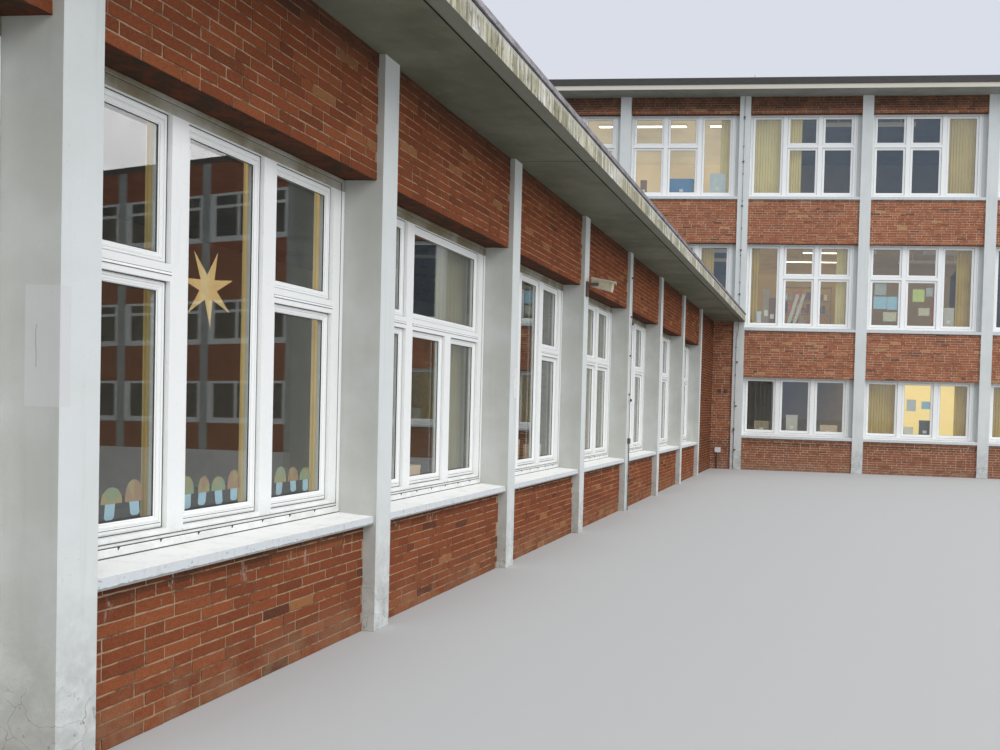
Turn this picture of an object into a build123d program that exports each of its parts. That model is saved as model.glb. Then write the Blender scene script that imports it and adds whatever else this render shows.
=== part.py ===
"""School building: a single-storey classroom wing that meets a three-storey block at a right angle.

All sizes are millimetres, +Z is up, the ground is z = 0 and the origin is the centre of the outline.
The wing's courtyard front faces +X, the block's courtyard front faces -Y.
"""
import os
from build123d import *

# Wing, along its front
wing_bay = 2500.0              # from one pier to the next, ten bricks long
wing_bays_far = 7              # bays beyond the joint pier
wing_low_bays = 1              # bays before it, whose windows go down to the floor
wing_pier_width = 200.0
wing_pier_depth = 390.0
joint_shift = 36.0             # the joint pier stands this much off the regular spacing
wing_length = 20343.0          # joint pier to the block's pier fronts

# Wing, from the ground up
wing_apron = 725.0             # brick below the windows
wing_window = 2235.0           # frame height
wing_head = 840.0              # brick above the windows

# Wing, behind the pier faces
wing_apron_recess = 90.0
wing_head_recess = 48.0
wing_window_recess = 275.0
corner_recess = 90.0           # plain brick beside the block

# Block, along its front
block_bay = 3176.0
block_bays = 6
block_bays_behind_wing = 3
block_first_pier = 446.0       # near edge of the pier beside the wing, from the wing's pier faces
block_pier_width = 283.0
block_pier_depth = 350.0
block_depth = 9200.0           # front pier faces to rear pier faces

# Block, from the ground up
ground_plinth = 830.0          # brick below the lowest sills
ground_opening = 1610.0        # underside of the sill to the head of the window
first_spandrel = 1210.0
middle_opening = 2285.0
second_spandrel = 1135.0
top_opening = 2235.0
top_strip = 440.0              # brick between the highest windows and the roof
sill_over_roof = 268.0         # underside of the raised sills, above the wing's roof

# Block, behind the pier faces
block_brick_recess = 50.0
block_window_recess = 200.0

# Sills
wing_sill_setback = 20.0       # sill nose, behind the pier faces
wing_sill_nose = 55.0          # height of the nose
wing_sill_rise = 20.0          # from nose to window
block_sill_setback = 5.0
block_sill_nose = 75.0
block_sill_rise = 20.0
groove_width = 20.0            # drip groove under a nose or a roof edge
groove_depth = 12.0
groove_inset = 110.0           # roof groove, from the roof's edge to the groove
sill_groove_inset = 25.0

# Windows
frame_depth = 70.0
sash_setback = 28.0            # sash face, behind the frame face
mullion = 116.0
frame_side = 122.0
frame_left_block = 55.0        # the frame's side that the pier covers in part
frame_right_block = 97.0
jamb_block = 110.0             # painted board between the frame and the pier on its right
frame_top_wing = 80.0
frame_foot_wing = 96.0
frame_top_block = 42.0
frame_foot_block = 60.0
sash_side_wing = 46.0
sash_side_block = 58.0
sash_rail = 58.0
sash_rail_block_top = 52.0
transom_wing = 86.0
transom_block = 70.0
lower_glass_wing = 1128.0      # height of the lower panes
lower_glass_block = 1112.0
plain_light_rail = 68.0
glass_setback = 40.0           # pane face, behind the frame face
glass_thickness = 24.0         # sealed double pane

# Roofs
wing_overhang = 746.0
wing_slab = 167.0
block_overhang = 537.0
block_slab = 115.0
roof_edge_height_wing = 51.0
roof_edge_height_block = 168.0
roof_edge_width = 140.0
roof_edge_drip = 18.0          # how far the metal edge stands out over the slab
edge_joint = 4.0               # expansion joint between lengths of the metal edge
roof_edge_gap = 8.0            # shadow gap between the wing's slab and its metal edge
roof_edge_gap_inset = 20.0     # how far the gap goes in behind the slab's face
felt_thickness = 40.0

# Inside
floor_thickness = 150.0
upper_floor_thickness = 200.0
floor_over_ground_head = 460.0  # upper side of the floor, above the windows below it
floor_over_middle_head = 365.0
room_depth_wing = 6500.0       # from front pier faces to the corridor wall
room_depth_block = 6600.0
inner_wall = 120.0
end_wall = 240.0

# Lightning rods
rod_radius = 5.0
earth_rod_radius = 8.0         # thicker rod below the test clamp
rod_sides = 8
rod_standoff = 22.0            # centre of the rod from the pier face
clip_size = 26.0
clip_spacing = 680.0           # about
clamp_size = 40.0
clamp_height = 80.0
clamp_level = 1050.0
clip_over_clamp = 700.0
clip_under_jog = 180.0
clip_under_wing_soffit = 375.0
clip_over_wing_roof = 818.0
clip_under_block_soffit = 595.0
wing_rod_pier = 4              # counted from the joint pier
rod_low_offset = 85.0          # from the pier's near edge
rod_high_offset = 130.0
jog_under_soffit = 175.0
jog_rise = 320.0
spike_offset = 404.0           # from the pier's near edge
spike_height = 90.0

# Camera housing beside its bracket's arm
camera_pier = 3                # counted from the joint pier
camera_plate = (24.0, 70.0, 180.0)  # thick, wide, high
camera_plate_inset = 50.0      # from the pier's near edge
camera_plate_foot = 2906.0
camera_arm = (152.0, 30.0, 36.0)    # reach from the pier, wide, high
camera_arm_inset = 68.0        # from the pier's near edge
camera_arm_foot = 3040.0
camera_body_length = 255.0
camera_body_width = 105.0
camera_body_rear = 100.0       # height at the rear and at the lens
camera_body_front = 116.0
camera_body_start = 65.0       # top of its rear, from the pier faces
camera_body_top = 3135.0
camera_tilt = 10.0             # nose down, in degrees
camera_hood_lap = 12.0         # hood behind the body
camera_hood_reach = 34.0       # hood beyond the lens
camera_hood_gap = 2.0
camera_hood_sheet = 6.0
camera_hood_skirt = 16.0
camera_hood_ridge = 46.0       # flat top of the hood
camera_hood_rise = 16.0
camera_rim = 8.0
camera_rim_proud = 3.0

# Fittings in the corner
service_box = (150.0, 60.0, 135.0)
service_box_left = 40.0
service_box_foot = 430.0
service_pipe_radius = 16.0
service_pipe_offset = 50.0
wall_fitting = (70.0, 55.0, 80.0)
wall_fitting_level = 2020.0
wall_fitting_lefts = (100.0, 260.0)

# Rows of ceiling lamps: depth from the pier faces, start from the bay's left edge, length
ground_lamps = [(1600.0, 196.0, 2500.0)]
middle_lamps = [(800.0, 1440.0, 1960.0), (2300.0, 910.0, 1960.0)]
top_lamps = [(1600.0, -1294.0, 2500.0)]
lamp_width = 160.0
lamp_top_width = 90.0
lamp_height = 80.0
lamp_drop = 180.0              # from the ceiling
hanger = 20.0
hanger_inset = 400.0           # from the lamp's ends

# Derived levels and lines
wing_frame_foot = wing_apron + wing_sill_nose + wing_sill_rise
wing_head_foot = wing_frame_foot + wing_window
wing_soffit = wing_head_foot + wing_head
wing_roof_top = wing_soffit + wing_slab + felt_thickness
ground_head = ground_plinth + ground_opening
first_floor_top = ground_head + floor_over_ground_head
middle_sill_foot = ground_head + first_spandrel
middle_sill_foot_over_wing = wing_roof_top + sill_over_roof
middle_head = middle_sill_foot + middle_opening
second_floor_top = middle_head + floor_over_middle_head
top_sill_foot = middle_head + second_spandrel
top_head = top_sill_foot + top_opening
block_soffit = top_head + top_strip
block_start = block_first_pier - block_bays_behind_wing * block_bay
block_end = block_first_pier + (block_bays - block_bays_behind_wing) * block_bay + block_pier_width
wing_width = -block_start      # the wing's rear lines up with the block's end
wing_start = -wing_bay - joint_shift
roof_left = -wing_width - wing_overhang - roof_edge_drip
outline_x = (roof_left, block_end)
outline_y = (wing_start, wing_length + block_depth + block_overhang + roof_edge_drip)
centre = (sum(outline_x) / 2, sum(outline_y) / 2)

# Lights of each window, from left to right
wing_patterns = [("split", "tall", "split"), ("split", "tall", "split"), ("split", "wide", "under"),
                 ("split", "tall", "split"), ("split", "split", "split")] + [("split", "tall", "split")] * 3
block_patterns = [("split", "split", "tall"), ("tall", "split", "split")]
plain_pattern = ("tall", "tall", "tall")

# Members of the windows: sides, foot and top of the frame, then the sash round the glass
wing_unit = {"left": frame_side, "right": frame_side, "foot": frame_foot_wing, "top": frame_top_wing,
             "sash side": sash_side_wing, "low rail": sash_rail, "high rail": sash_rail,
             "transom": transom_wing, "lower glass": lower_glass_wing}
wing_low_unit = {**wing_unit, "lower glass": lower_glass_wing + wing_frame_foot - floor_thickness}
block_unit = {"left": frame_left_block, "right": frame_right_block, "foot": frame_foot_block,
              "top": frame_top_block, "sash side": sash_side_block, "low rail": plain_light_rail,
              "high rail": sash_rail_block_top, "transom": transom_block, "lower glass": lower_glass_block}
block_rear_unit = {**block_unit, "left": frame_side, "right": frame_side}


def bar(x0, x1, y0, y1, z0, z1):
    """A box between two opposite corners."""
    return Pos((x0 + x1) / 2, (y0 + y1) / 2, (z0 + z1) / 2) * Box(x1 - x0, y1 - y0, z1 - z0)


def prism(outline, length):
    """An upright outline of (inward, up) points, drawn out to the right."""
    return extrude(Plane.YZ * make_face(Polyline(*outline, close=True)), length)


def facade_frames():
    """Where each facade's own frame sits: along it to the right, inward, up."""
    return {
        "wing_front": Location((0, 0, 0), (0, 0, 90)),
        "wing_rear": Location((-wing_width, wing_length, 0), (0, 0, -90)),
        "block_front": Location((0, wing_length, 0), (0, 0, 0)),
        "block_rear": Location((block_start + block_end, wing_length + block_depth, 0), (0, 0, 180)),
    }


def columns_of(width, unit):
    """Columns of a three-light window as (left, right) of the sash openings."""
    light = (width - unit["left"] - unit["right"] - 2 * mullion) / 3
    lefts = [unit["left"] + index * (light + mullion) for index in range(3)]
    return [(left, left + light) for left in lefts]


def sash_openings(pattern, width, height, unit):
    """Sash outlines of one window: (left, right, bottom, top, low rail, high rail)."""
    columns = columns_of(width, unit)
    side = unit["sash side"]
    low = unit["low rail"]
    high = unit["high rail"]
    floor = unit["foot"]
    ceiling = height - unit["top"]
    bar_foot = floor + low + unit["lower glass"] + side
    bar_top = bar_foot + unit["transom"]
    found = []
    for index, kind in enumerate(pattern):
        left, right = columns[index]
        if kind == "wide":
            last = columns[index + 1][1]
            found.append((left, last, bar_top, ceiling, side, high))
            found.append((left, right, floor, bar_foot, low, side))
        elif kind == "under":
            found.append((left, right, floor, bar_foot, low, side))
        elif kind == "split":
            found.append((left, right, bar_top, ceiling, side, high))
            found.append((left, right, floor, bar_foot, low, side))
        else:
            found.append((left, right, floor, ceiling, low, high))
    return found


def window(pattern, width, height, unit):
    """One window standing on z = 0 from x = 0, its face at y = 0. Gives the frame and its panes."""
    frame = bar(0, width, 0, frame_depth, 0, height)
    side = unit["sash side"]
    panes = []
    near, far = glass_setback, glass_setback + glass_thickness
    for left, right, low, high, low_rail, high_rail in sash_openings(pattern, width, height, unit):
        frame -= bar(left, right, -1, sash_setback, low, high)
        pane_left = left + side
        pane_right = right - side
        pane_low = low + low_rail
        pane_high = high - high_rail
        frame -= bar(pane_left, pane_right, 0, frame_depth + 1, pane_low, pane_high)
        panes.append(bar(pane_left, pane_right, near, far, pane_low, pane_high))
    return frame, panes


def sill(length, setback, nose, rise, foot, back):
    """A weathered sill: sloping top, upright nose and a drip groove underneath."""
    rear = back + frame_depth
    top = foot + nose + rise
    groove = setback + sill_groove_inset
    outline = [
        (setback, foot),
        (setback, foot + nose),
        (back, top),
        (rear, top),
        (rear, foot),
        (groove + groove_width, foot),
        (groove + groove_width, foot + groove_depth),
        (groove, foot + groove_depth),
        (groove, foot),
    ]
    return prism(outline, length)


def place(shape, frame, along=0.0, inward=0.0, up=0.0):
    return frame * Pos(along, inward, up) * shape


def wing_facade(frame, piers, patterns, low_bays):
    """Piers, brick, sills, frames and panes of one long side of the wing.

    In the first low_bays the frame stands on a low step of brick, with no sill.
    """
    made = {"piers": [], "aprons": [], "heads": [], "sills": [], "frames": [], "glass": []}
    for start in piers:
        pier = bar(0, wing_pier_width, 0, wing_pier_depth, 0, wing_soffit)
        made["piers"].append(place(pier, frame, start))
    for index, (start, following, pattern) in enumerate(zip(piers, piers[1:], patterns)):
        left = start + wing_pier_width
        width = following - left
        if index < low_bays:
            foot, unit_kind = floor_thickness, wing_low_unit
            apron = bar(0, width, wing_window_recess, wing_pier_depth, 0, foot)
        else:
            foot, unit_kind = wing_frame_foot, wing_unit
            apron = bar(0, width, wing_apron_recess, wing_pier_depth, 0, wing_apron)
            ledge = sill(
                width, wing_sill_setback, wing_sill_nose, wing_sill_rise, wing_apron, wing_window_recess)
            made["sills"].append(place(ledge, frame, left))
        head = bar(0, width, wing_head_recess, wing_pier_depth, wing_head_foot, wing_soffit)
        unit, panes = window(pattern, width, wing_head_foot - foot, unit_kind)
        made["aprons"].append(place(apron, frame, left))
        made["heads"].append(place(head, frame, left))
        made["frames"].append(place(unit, frame, left, wing_window_recess, foot))
        made["glass"] += [place(pane, frame, left, wing_window_recess, foot) for pane in panes]
    return made


def block_window_rows(over_wing):
    """Rows of one bay from the ground up, each as (sill foot, head of the window, storey)."""
    ground = (ground_plinth, ground_head, "ground")
    middle = (middle_sill_foot, middle_head, "middle")
    raised = (middle_sill_foot_over_wing, middle_head, "raised")
    top = (top_sill_foot, top_head, "top")
    return [raised, top] if over_wing else [ground, middle, top]


def block_facade(frame, over_wing_bays, patterns, unit_kind, jamb):
    """Piers, brick, sills, frames, panes and jamb boards of one long side of the block.

    The tall light changes sides from bay to bay. Low windows have three plain lights.
    """
    made = {"piers": [], "bricks": [], "sills": [], "frames": [], "glass": []}
    if jamb:
        made["jambs"] = []
    width = block_bay - block_pier_width
    near = block_window_recess
    sill_height = block_sill_nose + block_sill_rise
    for index in range(block_bays + 1):
        pier = bar(0, block_pier_width, 0, block_pier_depth, 0, block_soffit)
        made["piers"].append(place(pier, frame, block_start + index * block_bay))
    for index in range(block_bays):
        left = block_start + index * block_bay + block_pier_width
        brick_foot = 0.0
        for foot, head, storey in block_window_rows(index < over_wing_bays):
            panel = bar(0, width, block_brick_recess, block_pier_depth, brick_foot, foot)
            ledge = sill(width, block_sill_setback, block_sill_nose, block_sill_rise, foot, near)
            pattern = patterns[index % len(patterns)] if storey in ("middle", "top") else plain_pattern
            base = foot + sill_height
            unit, panes = window(pattern, width - jamb, head - base, unit_kind)
            made["bricks"].append(place(panel, frame, left))
            made["sills"].append(place(ledge, frame, left))
            made["frames"].append(place(unit, frame, left, near, base))
            made["glass"] += [place(pane, frame, left, near, base) for pane in panes]
            if jamb:
                board = bar(width - jamb, width, near, near + frame_depth, base, head)
                made["jambs"].append(place(board, frame, left))
            brick_foot = head
        strip = bar(0, width, block_brick_recess, block_pier_depth, brick_foot, block_soffit)
        made["bricks"].append(place(strip, frame, left))
    return made


def wing_pier_starts():
    """Near edges of the front piers, from the end of the wing to the last before the block."""
    regular = [wing_bay * index for index in range(1, wing_bays_far + 1)]
    return [wing_start, -joint_shift] + regular


def wing_ends(frames):
    """Plain brick beside the block, the plain end wall, the floor and the corridor wall."""
    starts = wing_pier_starts()
    last = starts[-1] + wing_pier_width
    wall_face = wing_length + block_brick_recess
    corner = bar(last, wall_face, corner_recess, wing_pier_depth, 0, wing_soffit)
    inner_left = -wing_width + wing_pier_depth
    inner_right = -wing_pier_depth
    made = {}
    made["wing_corner_walls"] = [
        frames["wing_front"] * corner,
        frames["wing_rear"] * bar(0, wing_length - last, corner_recess, wing_pier_depth, 0, wing_soffit),
    ]
    made["wing_end_wall"] = [bar(inner_left, inner_right, wing_start, wing_start + end_wall, 0, wing_soffit)]
    near = wing_start + end_wall
    corridor = -room_depth_wing
    made["wing_floor"] = [bar(inner_left, inner_right, near, wing_length, 0, floor_thickness)]
    made["wing_corridor_wall"] = [
        bar(corridor - inner_wall, corridor, near, wall_face, floor_thickness, wing_soffit)]
    return made


def wing_roof():
    """Slab with drip grooves, its metal edge and its felt. The slab is cut round the block's piers."""
    left = -wing_width - wing_overhang
    right = wing_overhang
    far = wing_length + block_brick_recess
    foot = wing_soffit
    low = wing_soffit + wing_slab
    slab = bar(left, right, wing_start, far, foot, low)
    for edge in (left + groove_inset, right - groove_inset - groove_width):
        slab -= bar(edge, edge + groove_width, wing_start - 1, far + 1, foot - 1, foot + groove_depth)
    piers = [block_start + index * block_bay for index in range(block_bays_behind_wing + 1)]
    for start in piers:
        slab -= bar(start, start + block_pier_width, wing_length, far + 1, foot - 1, low + 1)
    slab -= bar(left - 1, block_start, wing_length, far + 1, foot - 1, low + 1)
    high = low + roof_edge_height_wing
    drip = low + roof_edge_gap
    end = wing_start + roof_edge_width
    side = end + edge_joint
    step = roof_edge_gap_inset
    edges = [
        bar(left + step, left + roof_edge_width, side, wing_length, low, drip)
        + bar(left - roof_edge_drip, left + roof_edge_width, side, wing_length, drip, high),
        bar(right - roof_edge_width, right - step, side, wing_length, low, drip)
        + bar(right - roof_edge_width, right + roof_edge_drip, side, wing_length, drip, high),
        bar(left + step, right - step, wing_start + step, end, low, drip)
        + bar(left - roof_edge_drip, right + roof_edge_drip, wing_start, end, drip, high),
    ]
    felt = bar(left + roof_edge_width, right - roof_edge_width, wing_start + roof_edge_width, wing_length,
               low, low + felt_thickness)
    return {"wing_roof_slab": [slab], "wing_roof_edge": edges, "wing_roof_felt": [felt]}


def block_shell():
    """Gable walls, floors and corridor walls of the block."""
    inner_front = wing_length + block_pier_depth
    inner_rear = wing_length + block_depth - block_pier_depth
    left = block_start
    right = block_end
    inner_left = left + block_pier_width
    inner_right = right - block_pier_width
    levels = [(0.0, floor_thickness), (first_floor_top - upper_floor_thickness, first_floor_top),
              (second_floor_top - upper_floor_thickness, second_floor_top)]
    made = {}
    made["block_left_wall"] = [bar(left, inner_left, inner_front, inner_rear, 0, block_soffit)]
    made["block_right_wall"] = [bar(inner_right, right, inner_front, inner_rear, 0, block_soffit)]
    made["block_floors"] = [
        bar(inner_left, inner_right, inner_front, inner_rear, low, high) for low, high in levels]
    ceilings = [levels[1][0], levels[2][0], block_soffit]
    corridor = wing_length + room_depth_block
    made["block_corridor_walls"] = [
        bar(inner_left, inner_right, corridor, corridor + inner_wall, level[1], ceiling)
        for level, ceiling in zip(levels, ceilings)]
    return made


def block_roof():
    """Slab, metal edge and felt of the block's roof."""
    near = wing_length - block_overhang
    far = wing_length + block_depth + block_overhang
    low = block_soffit + block_slab
    high = low + roof_edge_height_block
    slab = bar(block_start, block_end, near, far, block_soffit, low)
    side_near = near + roof_edge_width + edge_joint
    side_far = far - roof_edge_width - edge_joint
    edges = [
        bar(block_start, block_end, near - roof_edge_drip, near + roof_edge_width, low, high),
        bar(block_start, block_end, far - roof_edge_width, far + roof_edge_drip, low, high),
        bar(block_start, block_start + roof_edge_width, side_near, side_far, low, high),
        bar(block_end - roof_edge_width, block_end, side_near, side_far, low, high),
    ]
    felt = bar(block_start + roof_edge_width, block_end - roof_edge_width,
               near + roof_edge_width, far - roof_edge_width, low, low + felt_thickness)
    return {"block_roof_slab": [slab], "block_roof_edge": edges, "block_roof_felt": [felt]}


def rod(points, radius):
    """An upright rod of few sides along a run of corner points, the first two one above the other."""
    section = Pos(*points[0]) * RegularPolygon(radius, rod_sides)
    return sweep(section, path=Polyline(*points), transition=Transition.RIGHT)


def levels_between(low, high):
    """Even levels from low to high, about one clip spacing apart."""
    steps = max(1, round((high - low) / clip_spacing))
    return [low + index * (high - low) / steps for index in range(steps + 1)]


def joined(shapes):
    whole = shapes[0]
    for shape in shapes[1:]:
        whole += shape
    return whole


def clamped_rod(frame, along, clips, upper_points):
    """A rod from the ground: thick up to its test clamp, then thin along the points above it."""
    out = -rod_standoff
    clamp_foot = clamp_level - clamp_height / 2
    thick = rod([(along, out, 0), (along, out, clamp_level)], earth_rod_radius)
    thin = rod([(along, out, clamp_level)] + upper_points, rod_radius)
    half = clamp_size / 2
    clamp = bar(along - half, along + half, out - half, 0, clamp_foot, clamp_foot + clamp_height)
    return joined([frame * shape for shape in [thick, thin, clamp] + clips_at(along, clips)])


def clips_at(along, levels):
    """Clips that hold a rod off a pier's face."""
    half = clip_size / 2
    return [bar(along - half, along + half, -rod_standoff, 0, z - half, z + half) for z in levels]


def lightning_rods(frames):
    """Down conductors on a wing pier and on the block's pier beside the wing, and a spike on the roof."""
    out = -rod_standoff
    first_clip = clamp_level + clip_over_clamp
    on_wing = wing_rod_pier * wing_bay + wing_pier_width / 2
    wing_levels = levels_between(first_clip, wing_soffit - clip_under_wing_soffit)
    low = block_first_pier + rod_low_offset
    high = block_first_pier + rod_high_offset
    jog_top = wing_soffit - jog_under_soffit
    jog_foot = jog_top - jog_rise
    low_levels = levels_between(first_clip, jog_foot - clip_under_jog)
    high_levels = levels_between(wing_roof_top + clip_over_wing_roof, block_soffit - clip_under_block_soffit)
    to_soffit = [(low, out, jog_foot), (high, out, jog_top), (high, out, wing_soffit)]
    upper = [rod([(high, out, wing_roof_top), (high, out, block_soffit)], rod_radius)]
    spike_out = -block_overhang + roof_edge_width / 2
    spike_foot = block_soffit + block_slab + roof_edge_height_block
    spike_top = spike_foot + spike_height
    spike_x = block_first_pier + spike_offset
    spike = rod([(spike_x, spike_out, spike_foot), (spike_x, spike_out, spike_top)], rod_radius)
    block = frames["block_front"]
    return [
        clamped_rod(frames["wing_front"], on_wing, wing_levels, [(on_wing, out, wing_soffit)]),
        clamped_rod(block, low, low_levels, to_soffit),
        joined([block * shape for shape in upper + clips_at(high, high_levels)]),
        block * spike,
    ]


def camera_hood():
    """A sheet hood along x, its inner top at z = 0: skirts at both sides and a raised flat middle."""
    outer = camera_body_width / 2 + camera_hood_gap + camera_hood_sheet
    inner = camera_body_width / 2 + camera_hood_gap
    ridge = camera_hood_ridge / 2
    outline = [(-outer, -camera_hood_skirt), (-outer, camera_hood_sheet), (-ridge, camera_hood_rise),
               (ridge, camera_hood_rise), (outer, camera_hood_sheet), (outer, -camera_hood_skirt),
               (inner, -camera_hood_skirt), (inner, 0), (-inner, 0), (-inner, -camera_hood_skirt)]
    length = camera_hood_lap + camera_body_length + camera_hood_reach
    return Pos(-camera_hood_lap, 0, 0) * prism(outline, length)


def pier_camera():
    """A sheltered camera: wall plate, arm, and a tilted housing under its hood beside the arm."""
    near = camera_pier * wing_bay
    thick, wide, high = camera_plate
    plate_near = near + camera_plate_inset
    plate = bar(0, thick, plate_near, plate_near + wide, camera_plate_foot, camera_plate_foot + high)
    reach, arm_wide, arm_high = camera_arm
    arm_near = near + camera_arm_inset
    arm = bar(0, reach, arm_near, arm_near + arm_wide, camera_arm_foot, camera_arm_foot + arm_high)
    length = camera_body_length
    half = camera_body_width / 2
    side = Polyline((0, 0), (length, 0), (length, -camera_body_front), (0, -camera_body_rear), close=True)
    body = extrude(Plane.XZ * make_face(side), half, both=True)
    proud = camera_rim_proud
    rim = bar(length, length + camera_rim, -half - proud, half + proud, -camera_body_front - proud, 0)
    seat = Pos(camera_body_start, arm_near + arm_wide + half, camera_body_top) * Rot(0, camera_tilt, 0)
    return plate + arm, seat * (body + rim + camera_hood())


def corner_fittings():
    """A small service box on its pipe and two wall fittings on the block's brick, in the corner."""
    face = wing_length + block_brick_recess
    width, depth, height = service_box
    left = service_box_left
    box = bar(left, left + width, face - depth, face, service_box_foot, service_box_foot + height)
    pipe = Pos(left + service_pipe_offset, face - depth / 2, service_box_foot / 2) * Cylinder(
        service_pipe_radius, service_box_foot)
    wide, deep, high = wall_fitting
    sockets = [
        bar(x, x + wide, face - deep, face, wall_fitting_level, wall_fitting_level + high)
        for x in wall_fitting_lefts]
    return box, pipe, sockets


def ceiling_lamp(ceiling, depth, left, right):
    """One long lamp with sloping sides on two hangers below a ceiling."""
    near = wing_length + depth
    top = ceiling - lamp_drop
    slope = (lamp_width - lamp_top_width) / 2
    outline = [(0, -lamp_height), (slope, 0), (lamp_width - slope, 0), (lamp_width, -lamp_height)]
    lamp = Pos(left, near, top) * prism(outline, right - left)
    middle = near + lamp_width / 2
    for x in (left + hanger_inset, right - hanger_inset):
        lamp += bar(x - hanger / 2, x + hanger / 2, middle - hanger / 2, middle + hanger / 2, top, ceiling)
    return lamp


def ceiling_lamps():
    """Rows of lamps in each storey of the block, one lamp a bay where the gables leave it room."""
    made = []
    lowest = block_start + block_pier_width
    highest = block_end - block_pier_width
    storeys = [
        (first_floor_top - upper_floor_thickness, ground_lamps),
        (second_floor_top - upper_floor_thickness, middle_lamps),
        (block_soffit, top_lamps),
    ]
    for ceiling, rows in storeys:
        for depth, start, length in rows:
            for index in range(block_bays):
                left = lowest + index * block_bay + start
                if left > lowest and left + length < highest:
                    made.append(ceiling_lamp(ceiling, depth, left, left + length))
    return made


def fittings(frames):
    bracket, housing = pier_camera()
    box, pipe, sockets = corner_fittings()
    return {
        "lightning_conductors": lightning_rods(frames),
        "camera_bracket": [bracket],
        "camera_housing": [housing],
        "service_box": [box],
        "service_pipe": [pipe],
        "wall_fittings": sockets,
        "ceiling_lamps": ceiling_lamps(),
    }


def centred(shapes):
    return [Pos(-centre[0], -centre[1], 0) * shape for shape in shapes]


def main():
    os.makedirs("parts", exist_ok=True)
    frames = facade_frames()
    starts = wing_pier_starts()
    rear_starts = sorted(wing_length - start - wing_pier_width for start in starts)
    sides = {
        "wing_front": wing_facade(frames["wing_front"], starts, wing_patterns, wing_low_bays),
        "wing_rear": wing_facade(frames["wing_rear"], rear_starts, [plain_pattern] * len(wing_patterns), 0),
        "block_front": block_facade(
            frames["block_front"], block_bays_behind_wing, block_patterns, block_unit, jamb_block),
        "block_rear": block_facade(frames["block_rear"], 0, [plain_pattern], block_rear_unit, 0.0),
    }
    nodes = {}
    for side, groups in sides.items():
        for group, shapes in groups.items():
            nodes[side + "_" + group] = shapes
    for made in (wing_ends(frames), wing_roof(), block_shell(), block_roof(), fittings(frames)):
        nodes.update(made)
    for name, shapes in nodes.items():
        export_step(Compound(children=centred(shapes), label=name), "parts/" + name + ".step")


main()
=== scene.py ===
import math
import random

import bpy
import numpy as np
from mathutils import Matrix, Vector


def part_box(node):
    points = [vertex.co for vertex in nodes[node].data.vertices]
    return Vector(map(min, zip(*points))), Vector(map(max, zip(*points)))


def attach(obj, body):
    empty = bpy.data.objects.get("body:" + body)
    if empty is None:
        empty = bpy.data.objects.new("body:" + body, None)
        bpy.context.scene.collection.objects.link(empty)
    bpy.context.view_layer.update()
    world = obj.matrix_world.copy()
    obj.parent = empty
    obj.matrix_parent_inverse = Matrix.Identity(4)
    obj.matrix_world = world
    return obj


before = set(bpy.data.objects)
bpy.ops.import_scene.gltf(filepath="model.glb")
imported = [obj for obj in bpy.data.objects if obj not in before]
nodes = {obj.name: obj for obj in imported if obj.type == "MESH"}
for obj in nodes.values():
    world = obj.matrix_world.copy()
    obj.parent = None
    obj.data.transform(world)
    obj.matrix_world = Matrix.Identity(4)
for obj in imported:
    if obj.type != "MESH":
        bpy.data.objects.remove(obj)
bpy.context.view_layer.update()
print("frame loaded:", len(nodes), "nodes")

# Lines that the rest of the script measures from
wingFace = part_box("wing_front_piers")[1].x
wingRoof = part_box("wing_roof_slab")
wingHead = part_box("wing_front_heads")[0].z
wingBay = 2.5
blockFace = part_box("block_front_piers")[0].y
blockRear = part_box("block_rear_piers")[0].y
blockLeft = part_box("block_front_piers")[0].x
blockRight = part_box("block_front_piers")[1].x
blockPier = 0.283
blockBay = (blockRight - blockLeft - blockPier) / 6
firstPier = blockFace - 20.343      # the joint pier's regular place along the wing
betweenRoofs = 6.0      # a height over the wing's roof and under the block's
outward = {
    "wing_front": (1, 0, 0), "wing_rear": (-1, 0, 0), "block_front": (0, -1, 0), "block_rear": (0, 1, 0)}


def bayStart(bay):
    # near edge of a bay of the block, counted from the pier beside the wing
    return blockLeft + (bay + 3) * blockBay


# Shader building: a socket with arithmetic, and a finish that makes nodes

class Signal:
    def __init__(self, finish, socket):
        self.finish = finish
        self.socket = socket

    def __add__(self, other):
        return self.finish.maths("ADD", self, other)

    __radd__ = __add__

    def __sub__(self, other):
        return self.finish.maths("SUBTRACT", self, other)

    def __rsub__(self, other):
        return self.finish.maths("SUBTRACT", other, self)

    def __mul__(self, other):
        return self.finish.maths("MULTIPLY", self, other)

    __rmul__ = __mul__

    def __truediv__(self, other):
        return self.finish.maths("DIVIDE", self, other)

    def __rtruediv__(self, other):
        return self.finish.maths("DIVIDE", other, self)

    def __pow__(self, other):
        return self.finish.maths("POWER", self, other)

    def __gt__(self, other):
        return self.finish.maths("GREATER_THAN", self, other)

    def __lt__(self, other):
        return self.finish.maths("LESS_THAN", self, other)

    def __abs__(self):
        return self.finish.maths("ABSOLUTE", self)


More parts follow.
